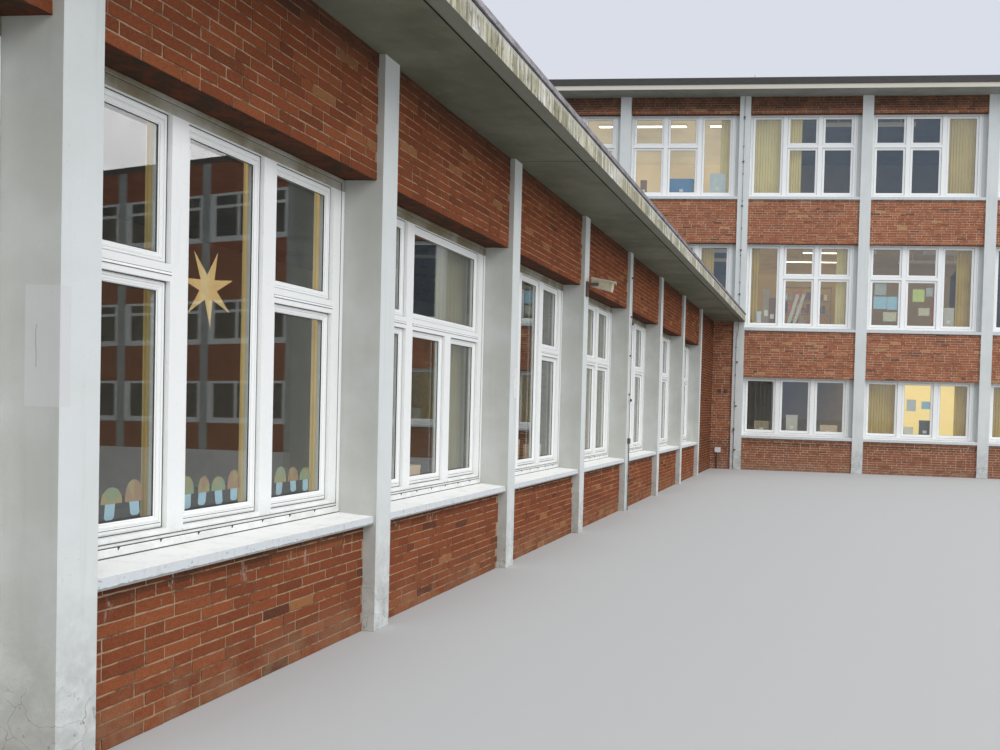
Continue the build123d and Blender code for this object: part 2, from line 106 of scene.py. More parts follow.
class Finish:
    def __init__(self, name, **constants):
        self.material = bpy.data.materials.new(name)
        self.material.use_nodes = True
        self.material.cycles.emission_sampling = "NONE"
        self.tree = self.material.node_tree
        self.shader = self.tree.nodes["Principled BSDF"]
        for key, value in constants.items():
            self.shader.inputs[key.replace("_", " ")].default_value = value
        self.position = self.node("ShaderNodeTexCoord", output="Object")
        self.x, self.y, self.z = [self.axis(self.position, index) for index in range(3)]

    def node(self, kind, settings=None, inputs=None, output=0):
        made = self.tree.nodes.new(kind)
        for key, value in (settings or {}).items():
            if key == "stops":
                ramp = made.color_ramp
                for place, colour in value[2:]:
                    ramp.elements.new(place)
                for element, (place, colour) in zip(ramp.elements, sorted(value)):
                    element.position = place
                    element.color = (*colour, 1)
            elif key == "interpolation":
                made.color_ramp.interpolation = value
            else:
                setattr(made, key, value)
        for key, value in (inputs or {}).items():
            if isinstance(value, Signal):
                self.tree.links.new(value.socket, made.inputs[key])
            elif isinstance(value, tuple) and len(value) == 3 and made.inputs[key].type == "RGBA":
                made.inputs[key].default_value = (*value, 1)
            else:
                made.inputs[key].default_value = value
        return Signal(self, made.outputs[output])

    def maths(self, operation, *values):
        return self.node("ShaderNodeMath", {"operation": operation}, dict(enumerate(values)))

    def vector(self, operation, *values):
        return self.node("ShaderNodeVectorMath", {"operation": operation}, dict(enumerate(values)))

    def mix(self, share, first, second, blend="MIX"):
        settings = {"data_type": "RGBA", "blend_type": blend, "clamp_factor": True}
        return self.node("ShaderNodeMix", settings, {0: share, 6: first, 7: second}, 2)

    def coats(self, colour, *layers):
        # each layer over the colour is its share and its own colour
        for share, tone in layers:
            colour = self.mix(share, colour, tone)
        return colour

    def noise(self, scale, detail=3, rough=0.55, stretch=None, seed=0.0):
        # stretch is a factor for each axis; a seed moves the sample point
        source = self.vector("MULTIPLY", self.position, stretch) if stretch else self.position
        if seed:
            shift = seed if isinstance(seed, Signal) else (seed,) * 3
            source = self.vector("ADD", source, shift)
        return self.node("ShaderNodeTexNoise", None, {
            "Vector": source, "Scale": scale, "Detail": detail, "Roughness": rough})

    def step(self, value, low, high, first=0.0, second=1.0):
        inputs = {0: value, 1: low, 2: high, 3: first, 4: second}
        return self.node("ShaderNodeMapRange", {"interpolation_type": "SMOOTHSTEP"}, inputs)

    def patches(self, low, high, scale, detail, rough=0.55, stretch=None, seed=0.0, first=0.0, second=1.0):
        # soft-edged spots where a noise rises from low to high
        return self.step(self.noise(scale, detail, rough, stretch, seed), low, high, first, second)

    def cracks(self, scale, width):
        inputs = {"Vector": self.position, "Scale": 5.0, "Detail": 3.0}
        bent = self.node("ShaderNodeTexNoise", None, inputs, 1)
        source = self.vector("MULTIPLY_ADD", bent, (0.25, 0.25, 0.25), self.position)
        settings = {"feature": "DISTANCE_TO_EDGE"}
        return self.node("ShaderNodeTexVoronoi", settings, {"Vector": source, "Scale": scale}) < width

    def within(self, value, low, high):
        return (value > low) * (value < high)

    def axis(self, source, index):
        return self.node("ShaderNodeSeparateXYZ", None, {0: source}, index)

    def normal(self, index):
        return self.axis(self.node("ShaderNodeNewGeometry", output="Normal"), index)

    def downward(self):
        return self.step(self.normal(2), -0.3, -0.8)

    def stored(self, name):
        return self.node("ShaderNodeAttribute", {"attribute_name": name}, None, "Fac")

    def feed(self, name, value):
        self.tree.links.new(value.socket, self.shader.inputs[name])

    def bump(self, height, strength, depth):
        inputs = {"Strength": strength, "Distance": depth, "Height": height}
        self.feed("Normal", self.node("ShaderNodeBump", None, inputs))


# Shape building: boxes, rings, strips and cut-outs on a wall's own axes, joined into one mesh

class Wall:
    # origin at the lower left corner of a wall's face, seen from outside
    def __init__(self, low, high, out):
        self.out = Vector(out)
        self.along = Vector((0, 0, 1)).cross(self.out)
        corners = [Vector((x, y, low.z)) for x in (low.x, high.x) for y in (low.y, high.y)]
        left = min(c.dot(self.along) for c in corners)
        right = max(c.dot(self.along) for c in corners)
        face = max(c.dot(self.out) for c in corners)
        self.origin = self.along * left + self.out * face + Vector((0, 0, low.z))
        self.width = right - left
        self.height = high.z - low.z
        self.edges = (0, self.width, 0, self.height)
        self.axes = np.array([self.along, (0, 0, 1), self.out])

    def points(self, local):
        return np.asarray(local) @ self.axes + np.array(self.origin)


class Shape:
    def __init__(self, name):
        self.name = name
        self.points = []
        self.faces = []
        self.values = {}
        self.count = 0

    def add(self, wall, local, faces, **values):
        # values are one number for all the faces, or one for each
        self.points.append(wall.points(local))
        self.faces += [tuple(np.asarray(face) + self.count) for face in faces]
        self.count += len(local)
        for key, value in values.items():
            self.values.setdefault(key, []).extend(np.broadcast_to(value, len(faces)))

    def box(self, wall, left, right, low, high, near, far, **values):
        local = [(x, z, y) for x in (left, right) for z in (low, high) for y in (near, far)]
        faces = [(0, 1, 3, 2), (4, 6, 7, 5), (0, 4, 5, 1), (2, 3, 7, 6), (1, 5, 7, 3), (0, 2, 6, 4)]
        self.add(wall, local, faces, **values)

    def ring(self, wall, outer, inner, profile):
        # profile gives (share from outer to inner edge, height), swept round four mitred corners
        local = []
        for share, height in profile:
            left, right, low, high = [o + (i - o) * share for o, i in zip(outer, inner)]
            local += [(x, z, height) for x, z in ((left, low), (right, low), (right, high), (left, high))]
        faces = []
        for level in range(0, len(local), 4):
            upper = (level + 4) % len(local)
            for side, other in ((0, 1), (1, 2), (2, 3), (3, 0)):
                faces.append((level + side, level + other, upper + other, upper + side))
        self.add(wall, local, faces)

    def strip(self, wall, left, right, outline):
        # outline gives (up, out) points, drawn out along the wall
        count = len(outline)
        local = [(x, up, out) for x in (left, right) for up, out in outline]
        faces = [tuple(range(count)), tuple(range(2 * count - 1, count - 1, -1))]
        for index in range(count):
            other = (index + 1) % count
            faces.append((index, index + count, other + count, other))
        self.add(wall, local, faces)

    def cutOut(self, wall, outline, near, far, **values):
        # outline gives (along, up) points of a thin flat shape
        count = len(outline)
        local = [(along, up, out) for out in (near, far) for along, up in outline]
        faces = [tuple(range(count - 1, -1, -1)), tuple(range(count, 2 * count))]
        for index in range(count):
            other = (index + 1) % count
            faces.append((index, other, other + count, index + count))
        self.add(wall, local, faces, **values)

    def build(self, finish, slot, smooth=False):
        mesh = bpy.data.meshes.new(self.name)
        faces = [tuple(int(i) for i in face) for face in self.faces]
        mesh.from_pydata(np.concatenate(self.points).tolist(), [], faces)
        for key, value in self.values.items():
            layer = mesh.attributes.new(key, "FLOAT", "FACE")
            layer.data.foreach_set("value", np.asarray(value, float))
        mesh.update()
        mesh.validate()
        piece = bpy.data.objects.new(self.name, mesh)
        bpy.context.scene.collection.objects.link(piece)
        mesh.materials.append(finishes[finish])
        if smooth:
            mesh.shade_smooth()
        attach(piece, "root")
        triangles[self.name] = sum(len(face) - 2 for face in faces)
        return piece


triangles = {}


def looseBoxes(node):
    # lowest and highest corner of each separate solid in a node
    mesh = nodes[node].data
    points = np.array([v.co for v in mesh.vertices])
    keys = {}
    same = np.array([keys.setdefault(tuple(np.round(p, 4)), len(keys)) for p in points])
    parent = list(range(len(keys)))

    def root(i):
        while parent[i] != i:
            parent[i] = parent[parent[i]]
            i = parent[i]
        return i

    for edge in mesh.edges:
        parent[root(same[edge.vertices[0]])] = root(same[edge.vertices[1]])
    groups = {}
    for index, key in enumerate(same):
        groups.setdefault(root(key), []).append(index)
    boxes = [(Vector(points[g].min(0)), Vector(points[g].max(0))) for g in groups.values()]
    return sorted(boxes, key=lambda b: (round(b[0].z, 2), round(b[0].y, 2), round(b[0].x, 2)))


# Paint, glass and clay

paintedPier = {
    "front": (0.64, 0.665, 0.65), "cloud": (0.54, 0.565, 0.545), "side": (0.485, 0.49, 0.45),
    "grime": (0.33, 0.33, 0.3), "patch": (0.72, 0.72, 0.69), "repaint": (0.6, 0.6, 0.59),
    "repaint foot": 1.505, "repaint head": 1.985, "bare": (0.16, 0.13, 0.1), "crack": 0.004,
    "crack height": 0.62}


def pierPaint():
    f = Finish("pierPaint", Roughness=0.72, Specular_IOR_Level=0.15)
    cloud = f.noise(1.6, 5, 0.62)
    # the piers' side faces are painted darker and warmer than their fronts, in cloudy patches: painted shade
    # with warm side light
    side = f.step(abs(f.normal(1)), 0.3, 0.8) * f.step(f.y, blockFace - 0.05, blockFace - 0.15)
    repainted = f.within(f.y, firstPier - 0.05, firstPier + 0.016) * f.within(
        f.z, paintedPier["repaint foot"], paintedPier["repaint head"]) * (f.x > wingFace - 0.152)
    scuff = abs(f.x - (wingFace - 0.105) - f.noise(9, 2) * 0.02 + 0.01) < 0.0022
    scuff = f.within(f.z, 1.66, 1.83) * scuff * repainted
    grime = f.step(f.z, 1.1, 0.0) * f.patches(0.3, 0.66, 7, 5, 0.7, seed=7)
    low = f.step(f.z, paintedPier["crack height"], 0.15)
    crack = f.cracks(4.2, paintedPier["crack"]) * (low * f.noise(3, 3, 0.6, seed=9) > 0.36)
    flake = f.patches(0.6, 0.66, 26, 5, 0.7, seed=4) * low
    f.feed("Base Color", f.coats(
        paintedPier["front"],
        (f.step(cloud, 0.38, 0.7) * 0.45, paintedPier["cloud"]),
        (side * f.patches(0.25, 0.65, 2.4, 4, 0.6, seed=5, first=0.55), paintedPier["side"]),
        (f.patches(0.54, 0.76, 1, 4, 0.55, (15, 15, 0.8), 3) * 0.16, paintedPier["grime"]),
        ((f.noise(1, 2, 0.3, (2.2, 2.2, 1.3), 11) > 0.67) * 0.08, paintedPier["patch"]),
        (repainted * 0.75, paintedPier["repaint"]), (scuff * 0.7, paintedPier["grime"]),
        (grime * 0.65, paintedPier["grime"]), (crack * 0.75 + flake * 0.45, paintedPier["bare"]),
        (f.patches(0.66, 0.74, 55, 3, 0.6, seed=12) * 0.25, paintedPier["grime"])))
    f.feed("Roughness", f.step(cloud, 0.3, 0.7, 0.62, 0.8))
    grain = f.noise(200, 3, 0.6) * 0.5 + f.noise(24, 4, 0.65) * 0.6
    f.bump(grain - crack * 0.8 - flake * 0.5, 0.4, 0.003)
    return f.material


weatheredSill = {
    "top": (0.84, 0.84, 0.81), "front": (0.6, 0.63, 0.64), "dirt and shade": (0.17, 0.17, 0.15),
    "worn": (0.42, 0.41, 0.37), "feet": (0.725, 0.83, 3.65, 4.35, 7.07)}


def sillPaint():
    f = Finish("sillPaint", Roughness=0.68, Specular_IOR_Level=0.2)
    speck = f.patches(0.6, 0.7, 75, 4, 0.65, seed=5)
    streak = f.patches(0.5, 0.68, 1, 5, 0.65, (22, 22, 4), 2)
    chip = f.patches(0.6, 0.64, 30, 5, 0.7, (1, 1, 2.2), 6)
    front = f.coats(weatheredSill["front"], (streak * 0.28 + speck * 0.3, weatheredSill["worn"]),
                    (chip * 0.6, weatheredSill["dirt and shade"]))
    for low in weatheredSill["feet"]:
        # worn lower arris, level by level
        ragged = f.within(f.z - f.noise(24, 4, 0.7, seed=8) * 0.016, low - 0.012, low + 0.003)
        front = f.mix(ragged * 0.75, front, weatheredSill["dirt and shade"])
    wear = f.patches(0.48, 0.8, 8, 5, 0.7) * 0.4 + speck * 0.2
    f.feed("Base Color", f.coats(
        front, (f.step(f.normal(2), 0.3, 0.8), f.mix(wear, weatheredSill["top"], weatheredSill["worn"])),
        # the sill's underside gets the dark tone: painted shade
        (f.downward() * 0.8, weatheredSill["dirt and shade"])))
    f.bump(f.noise(110, 4, 0.65) - chip * 0.7, 0.35, 0.003)
    return f.material


# the dark algae tone also paints the shade at the frames' heads
windowWhite = {
    "paint": (0.86, 0.87, 0.845), "algae": (0.155, 0.125, 0.035), "dust": (0.5, 0.5, 0.46), "head": 0.08}


def windowPaint(name, heads):
    # heads are the heights of the frames' upper edges, where the member is painted darker and greenish:
    # painted shade under the brick head, with some algae
    f = Finish(name, Roughness=0.34, Specular_IOR_Level=0.45)
    cloud = f.noise(2.6, 4, 0.6)
    colour = windowWhite["paint"]
    for head in heads:
        dampAndShade = f.within(f.z, head - windowWhite["head"], head + 0.01) * f.step(cloud, 0.3, 0.65, 0.55, 0.92)
        colour = f.mix(dampAndShade, colour, windowWhite["algae"])
    dust = f.patches(0.54, 0.74, 38, 4, 0.7, seed=4)
    run = f.patches(0.56, 0.74, 1, 4, 0.6, (30, 30, 2.2), 6)
    foot = f.step(f.z, 1.0, 0.8) * (f.z < 1.0) * f.patches(0.3, 0.7, 8, 4, 0.7, None, 5, 0.1, 0.5)
    f.feed("Base Color", f.mix(dust * 0.14 + run * 0.1 + foot, colour, windowWhite["dust"]))
    f.feed("Roughness", f.step(dust, 0.0, 1.0, 0.3, 0.55))
    f.bump(f.noise(90, 2, 0.5, (1, 1, 0.2)), 0.12, 0.001)
    return f.material


glassPane = {"tint": (0.915, 0.935, 0.915), "grazing": 1.45}


def paneGlass(name, straight, colour):
    # each face of a pane passes slightly green light and mirrors a little more than one sheet of glass
    f = Finish(name)
    clear = f.node("ShaderNodeBsdfTransparent", None, {"Color": glassPane["tint"]})
    inputs = {"Strength": 0.05, "Distance": 0.004, "Height": f.noise(1.3, 1, 0.4)}
    bend = f.node("ShaderNodeBump", None, inputs)
    inputs = {"Color": colour, "Roughness": 0.004, "Normal": bend}
    mirror = f.node("ShaderNodeBsdfGlossy", None, inputs)
    film = f.patches(0.4, 0.8, 5, 4, 0.65, seed=2) * 0.02
    graze = f.node("ShaderNodeLayerWeight", None, {"Blend": 0.5}, "Facing") ** 5
    share = graze * glassPane["grazing"] + film + straight
    both = f.node("ShaderNodeMixShader", None, {0: share, 1: clear, 2: mirror})
    f.tree.links.new(both.socket, f.tree.nodes["Material Output"].inputs["Surface"])
    return f.material


clayTones = {
    "red": (0.204, 0.057, 0.025), "orange": (0.29, 0.098, 0.04), "brown": (0.125, 0.042, 0.022),
    "tan": (0.34, 0.17, 0.07), "burnt": (0.055, 0.028, 0.02), "bloom": (0.285, 0.19, 0.112),
    "mortar": (0.375, 0.265, 0.165), "grey": (0.112, 0.076, 0.048), "shadeAndSoot": (0.05, 0.035, 0.025)}
wingGain = (1, 1, 1)
blockGain = (1.6, 2.0, 2.4)     # the block's brick is painted paler than the wing's: painted light and haze on the block's open face, where the wing's bricks lie in the shade of its eave
wingEaveShade, blockEaveShade = 3.6, 9.22        # where the painted shade and soot below the eaves begin


def toned(gain, *keys):
    return [tuple(c * g for c, g in zip(clayTones[key], gain)) for key in keys]


def groundVeil(f):
    return f.step(f.z, 0.34, 0.02) * f.patches(0.33, 0.66, 4, 5, 0.7, seed=8)


def brickClay(name, gain, tanShare, burntShare, eaveShadeLine, baseShade):
    f = Finish(name, Roughness=0.9, Specular_IOR_Level=0.06)
    red, orange, brown, tan, burnt, bloom = toned(gain, "red", "orange", "brown", "tan", "burnt", "bloom")
    odd = f.stored("odd")
    grain = f.noise(170, 4, 0.7, None, odd * 40)
    cloud = f.noise(19, 4, 0.65, (1, 1, 1.8), odd * 30)
    wide = f.noise(0.9, 3, 0.5, seed=6)
    mottle = f.noise(75, 5, 0.72, (1, 1, 1.5), odd * 20)
    share = f.stored("tone") * 0.8 + wide * 0.3 + cloud * 0.35 + mottle * 1.5 - 1.03
    stops = [(0.0, brown), (1.0, orange), (0.45, red)]
    # painted shade with soot below the eaves, painted shade with damp just under the sills, and white salts
    # there
    shadeAndSoot = f.step(f.z, eaveShadeLine, eaveShadeLine + 0.3) * f.patches(0.25, 0.6, 3, 4, 0.7, None, 14, 0.5)
    dampAndShade = f.within(f.z, 0.655, 0.73) * f.patches(0.3, 0.6, 6, 4, 0.7, None, 15, 0.4)
    salts = f.patches(0.6, 0.68, 1, 5, 0.7, (16, 16, 5), 16) * f.step(f.z, 0.5, 0.72) * (f.z < 0.73)
    f.feed("Base Color", f.coats(
        f.node("ShaderNodeValToRGB", {"stops": stops}, {"Fac": share}),
        ((odd > 1 - tanShare) * (mottle * 1.1), tan), ((odd < burntShare) * (1.15 - mottle), burnt),
        (f.step(cloud, 0.52, 0.8) * 0.5, brown), (f.step(grain, 0.54, 0.72) * 0.4, tan),
        (f.step(grain, 0.46, 0.3) * 0.55, burnt),
        (groundVeil(f) * 0.42 + f.patches(0.6, 0.78, 9, 6, 0.75, seed=9) * 0.2, bloom),
        ((f.z < 0.84) * baseShade, brown), (shadeAndSoot * 0.8 + dampAndShade * 0.5, clayTones["shadeAndSoot"]),
        (salts * 0.55, (0.62, 0.58, 0.52))))
    f.bump(grain * 0.7 + f.noise(40, 4, 0.65, None, odd * 20), 0.55, 0.003)
    return f.material


def mortarBed(name, gain, eaveShadeLine):
    f = Finish(name, Roughness=0.92, Specular_IOR_Level=0.06)
    grey, mortar, bloom, shadeAndSoot, brown = toned(gain, "grey", "mortar", "bloom", "shadeAndSoot", "brown")
    grain = f.noise(190, 4, 0.7)
    # painted shade with soot below the eaves, and painted shade on the faces that look down
    f.feed("Base Color", f.coats(
        grey, (f.patches(0.36, 0.56, 6.5, 5, 0.72, seed=3), mortar), (f.step(grain, 0.5, 0.8) * 0.5, bloom),
        (groundVeil(f) * 0.6, bloom), (f.step(f.z, eaveShadeLine, eaveShadeLine + 0.3) * 0.7, shadeAndSoot),
        (f.downward(), f.mix(f.patches(0.35, 0.7, 14, 4, 0.6), shadeAndSoot, brown))))
    f.bump(grain, 0.6, 0.003)
    return f.material


eave = {
    "soffit": (0.19, 0.192, 0.142), "stain": (0.118, 0.12, 0.082), "edge": (0.255, 0.262, 0.225),
    "paint": (0.68, 0.67, 0.62), "cream": (0.5, 0.47, 0.34), "algae": (0.235, 0.225, 0.14),
    "black": (0.03, 0.03, 0.025), "lip": (0.66, 0.66, 0.62), "joint": 7.5, "first joint": 5.1,
    "groove": 0.11, "block soffit": (0.3, 0.3, 0.275), "block edge": (0.6, 0.57, 0.48)}


def roofConcrete():
    f = Finish("roofConcrete", Roughness=0.85, Specular_IOR_Level=0.25, Emission_Strength=1.0)
    low, high = wingRoof
    outside = f.maths("MAXIMUM", f.x > high.x - eave["groove"], f.x < low.x + eave["groove"])
    # joints between the cast lengths of the soffit
    joint = f.maths("PINGPONG", f.y - (firstPier + eave["first joint"]), eave["joint"] / 2) < 0.007
    under = f.coats(
        eave["soffit"], (f.patches(0.35, 0.68, 0.9, 5, 0.65), eave["stain"]),
        (f.patches(0.56, 0.74, 8, 5, 0.7, seed=2) * 0.35, eave["edge"]),
        (outside * 0.55, eave["edge"]), (joint * 0.8, eave["black"]))
    peel = f.noise(2.6, 6, 0.72, (1, 1, 0.7), 4)
    edge = f.coats(
        eave["paint"], (f.step(peel, 0.36, 0.6), eave["cream"]),
        (f.patches(0.42, 0.58, 1, 5, 0.75, (15, 15, 1.4), 5) * 0.92, eave["algae"]),
        (f.patches(0.53, 0.66, 1, 4, 0.7, (34, 34, 2.4), 21) * 0.75, eave["black"]),
        (f.patches(0.54, 0.66, 22, 5, 0.7, (1, 1, 0.5), 6) * 0.7, eave["black"]),
        (f.step(f.z, high.z - 0.05, high.z) * 0.55, eave["lip"]),
        ((f.z < low.z + 0.007) * 0.9, eave["black"]))
    face = f.maths("MAXIMUM", f.x > high.x - 0.003, f.x < low.x + 0.003)
    face = f.maths("MAXIMUM", face, f.y < low.y + 0.003)
    wing = f.mix(f.downward(), f.mix(face, eave["black"], edge), under)
    blockUnder = f.mix(f.patches(0.4, 0.7, 2, 5, 0.65, seed=8) * 0.5, eave["block soffit"], eave["soffit"])
    blockEdge = f.mix(f.patches(0.5, 0.72, 3, 5, 0.7, seed=9) * 0.3, eave["block edge"], eave["paint"])
    block = f.mix(f.downward(), blockEdge, blockUnder)
    f.feed("Base Color", f.mix(f.z > betweenRoofs, wing, block))
    f.feed("Emission Color", roomGlow(f))
    f.bump(f.noise(60, 4, 0.7) + peel * 1.5, 0.4, 0.003)
    return f.material


def edgeMetal():
    # the block's edge is darker than the wing's
    f = Finish("edgeMetal", Metallic=0.2, Specular_IOR_Level=0.5)
    cloud = f.noise(5, 5, 0.7, (1, 1, 3))
    wing = f.coats(
        (0.235, 0.225, 0.24), (f.step(cloud, 0.4, 0.68), (0.12, 0.112, 0.122)),
        (f.patches(0.56, 0.72, 28, 5, 0.72) * 0.5, (0.4, 0.39, 0.38)))
    spots = f.patches(0.55, 0.7, 30, 5, 0.72, seed=3) * 0.6
    block = f.mix(spots, (0.048, 0.044, 0.042), (0.11, 0.104, 0.098))
    f.feed("Base Color", f.mix(f.z > betweenRoofs, wing, block))
    f.feed("Roughness", f.step(cloud, 0.3, 0.7, 0.45, 0.7))
    f.bump(f.noise(12, 3, 0.6), 0.2, 0.002)
    return f.material


def plain(name, light, dark, scale, rough=0.8, bump=0.3, depth=0.001, **constants):
    f = Finish(name, **constants)
    cloud = f.noise(scale, 4, 0.65)
    f.feed("Base Color", f.mix(f.step(cloud, 0.35, 0.7), light, dark))
    f.feed("Roughness", f.step(cloud, 0.3, 0.7, rough - 0.08, rough + 0.08))
    f.bump(f.noise(scale * 12, 3, 0.6), bump, depth)
    return f.material


# lower and upper edge, left and right edge, glow, and whether the room's lamps are on
litRooms = {
    "top": (6.35, 9.8, blockLeft, bayStart(0) + 0.25, (0.55, 0.42, 0.25), True),
    "middle": (2.95, 6.15, bayStart(0) - 0.2, bayStart(1) - 0.1, (0.24, 0.14, 0.035), True),
    "beside": (2.95, 6.15, bayStart(1) - 0.1, bayStart(2), (0.15, 0.095, 0.035), False),
    "ground": (0.2, 2.75, bayStart(1) - 0.1, blockRight, (0.9, 0.68, 0.26), True)}


def litMask(f, low, high, left, right):
    inside = f.within(f.y, blockFace + 0.36, blockRear - 0.01)
    return inside * f.within(f.z, low, high) * f.within(f.x, left, right)


def roomGlow(f):
    # ceiling light that reaches the walls and ceilings of the rooms whose lamps are on
    cloud = f.patches(0.2, 0.8, 0.5, 3, 0.5, None, 20, 0.7, 1.15)
    return f.coats((0.0, 0.0, 0.0), *[
        (litMask(f, *edges), f.mix(cloud, (0.0, 0.0, 0.0), glow)) for *edges, glow, _ in litRooms.values()])


def roomSurface(name, light, dark, scale):
    f = Finish(name, Roughness=0.8, Emission_Strength=1.0)
    f.feed("Base Color", f.mix(f.patches(0.35, 0.7, scale, 4, 0.65), light, dark))
    f.feed("Emission Color", roomGlow(f))
    f.bump(f.noise(scale * 12, 3, 0.6), 0.3, 0.001)
    return f.material


def tubeLight():
    f = Finish("tubeLight", Roughness=0.5, Emission_Strength=5.0)
    below = f.step(f.normal(2), -0.4, -0.9)
    lit = sum(litMask(f, *edges) for *edges, _, lamps in litRooms.values() if lamps)
    f.feed("Base Color", f.mix(below, (0.75, 0.74, 0.68), (0.9, 0.88, 0.8)))
    share = below * lit * f.patches(0.2, 0.5, 3, 2, 0.5, first=0.8)
    f.feed("Emission Color", f.mix(share, (0.02, 0.016, 0.01), (1.0, 0.86, 0.58)))
    return f.material


def curtainCloth(name, thread, shade, glow):
    # woven cloth with a weft and a warp fine enough to blur at a few metres
    f = Finish(name, Roughness=0.9, Specular_IOR_Level=0.15, Emission_Strength=1.0)
    weave = f.maths("SINE", f.z * 2600) * f.maths("SINE", (f.x + f.y) * 2600)
    fade = f.patches(0.3, 0.7, 2.2, 4, 0.6)
    f.feed("Base Color", f.mix(fade * 0.6 + weave * 0.1, thread, shade))
    # the cloth also gives off a faint glow of its own: painted light
    f.feed("Emission Color", f.mix(fade, glow, tuple(0.8 * g for g in glow)))
    f.bump(weave * 0.3 + f.noise(60, 2), 0.3, 0.001)
    return f.material


def tinted(name, colours, rough, grainScale, glow):
    # one finish for many small things, each with its own colour by number; glow is light from the room
    f = Finish(name, Roughness=rough, Emission_Strength=glow)
    count = len(colours)
    stops = [(i / count, colour) for i, colour in enumerate(colours)]
    settings = {"stops": stops, "interpolation": "CONSTANT"}
    colour = f.node("ShaderNodeValToRGB", settings, {"Fac": (f.stored("tint") + 0.5) / count})
    colour = f.mix(f.patches(0.5, 0.75, grainScale, 4, 0.65) * 0.25, colour, (0.25, 0.21, 0.16))
    f.feed("Base Color", colour)
    f.feed("Emission Color", f.mix(1.0, colour, (1.0, 0.8, 0.52), "MULTIPLY"))
    f.bump(f.noise(grainScale * 8, 3, 0.6), 0.25, 0.001)
    return f.material


paperColours = [
    (0.36, 0.29, 0.11), (0.36, 0.19, 0.09), (0.46, 0.66, 0.74), (0.52, 0.5, 0.44), (0.24, 0.31, 0.17),
    (0.7, 0.62, 0.42), (0.68, 0.72, 0.24), (0.7, 0.68, 0.62), (0.4, 0.62, 0.78), (0.86, 0.6, 0.28)]
thingColours = [
    (0.1, 0.22, 0.42), (0.42, 0.47, 0.5), (0.22, 0.13, 0.07), (0.48, 0.46, 0.42), (0.55, 0.42, 0.3),
    (0.65, 0.64, 0.6), (0.1, 0.09, 0.08), (0.3, 0.24, 0.16), (0.5, 0.58, 0.64), (0.42, 0.15, 0.06)]

finishes = {
    "piers": pierPaint(), "sills": sillPaint(), "roof": roofConcrete(), "metal": edgeMetal(),
    "lamp": tubeLight(),
    "glass": paneGlass("wingGlass", 0.095, (0.96, 0.97, 0.97)),
    "block glass": paneGlass("blockGlass", 0.085, (0.66, 0.8, 0.97)),
    "window": windowPaint("windowPaint", [wingHead]), "block window": windowPaint("blockWindowPaint", []),
    "mortar": mortarBed("wingMortar", wingGain, wingEaveShade),
    "block mortar": mortarBed("blockMortar", blockGain, blockEaveShade),
    "brick": brickClay("wingClay", wingGain, 0.03, 0.02, wingEaveShade, 0.0),
    # the corner walls' clay is a darker copy of the wing's: painted shade under the roof
    "shaded corner brick": brickClay("shadedCornerClay", (0.7, 0.72, 0.76), 0.03, 0.02, wingEaveShade, 0.0),
    "block brick": brickClay("blockClay", blockGain, 0.015, 0.015, blockEaveShade, 0.45),
    "felt": plain("roofFelt", (0.1, 0.1, 0.1), (0.055, 0.06, 0.05), 4, 0.9, 0.6, 0.004),
    "floor": roomSurface("floorScreed", (0.24, 0.21, 0.17), (0.17, 0.15, 0.12), 3),
    "plaster": roomSurface("roomPlaster", (0.55, 0.45, 0.31), (0.47, 0.38, 0.25), 1.2),
    "rod": plain("rodAluminium", (0.125, 0.125, 0.12), (0.075, 0.07, 0.065), 20, 0.5, Metallic=0.3),
    "housing": plain("housingPaint", (0.52, 0.47, 0.36), (0.38, 0.36, 0.24), 14, 0.6),
    "steel": plain("bracketSteel", (0.075, 0.065, 0.06), (0.13, 0.07, 0.045), 30, 0.7),
    "plastic": plain("servicePlastic", (0.74, 0.74, 0.72), (0.62, 0.62, 0.6), 25, 0.5),
    "pipe": plain("blackPipe", (0.03, 0.03, 0.03), (0.06, 0.05, 0.045), 25, 0.6),
    "rubber and shade": plain("sealRubberAndShade", (0.03, 0.03, 0.03), (0.055, 0.052, 0.048), 40, 0.6),
    "board": plain("windowBoard", (0.66, 0.65, 0.6), (0.55, 0.54, 0.49), 9, 0.5),
    "ochre": curtainCloth("ochreCloth", (0.6, 0.42, 0.1), (0.46, 0.3, 0.07), (0.09, 0.058, 0.01)),
    "cream": curtainCloth("creamCloth", (0.74, 0.62, 0.32), (0.64, 0.52, 0.26), (0.12, 0.088, 0.028)),
    "pale": curtainCloth("paleCloth", (0.82, 0.66, 0.34), (0.72, 0.56, 0.27), (0.32, 0.235, 0.095)),
    "dim": curtainCloth("dimCloth", (0.4, 0.35, 0.23), (0.32, 0.27, 0.17), (0.0, 0.0, 0.0)),
    "beige": curtainCloth("beigeCloth", (0.62, 0.49, 0.24), (0.54, 0.41, 0.19), (0.12, 0.082, 0.022)),
    "paper": tinted("paperSheets", paperColours, 0.8, 14, 0.06),
    "things": tinted("roomThings", thingColours, 0.6, 9, 0.3)}

# the nodes of each finish, by the ends of their names
nodesOf = {
    "piers": "piers jambs", "sills": "sills", "window": "frames", "glass": "glass",
    "mortar": "aprons heads corner_walls end_wall", "block mortar": "bricks left_wall right_wall",
    "floor": "floor floors", "plaster": "corridor_wall corridor_walls", "roof": "roof_slab",
    "metal": "roof_edge", "felt": "roof_felt", "rod": "lightning_conductors",
    "steel": "camera_bracket wall_fittings", "housing": "camera_housing", "plastic": "service_box",
    "pipe": "service_pipe", "lamp": "ceiling_lamps", "block window": "block_front_frames block_rear_frames",
    "block glass": "block_front_glass block_rear_glass"}
finishOf = {end: key for key, ends in nodesOf.items() for end in ends.split()}
for name, piece in nodes.items():
    key = max((k for k in finishOf if name.endswith(k)), key=len)
    piece.data.materials.clear()
    piece.data.materials.append(finishes[finishOf[key]])
print("finishes on", len(nodes), "nodes")


# Brickwork

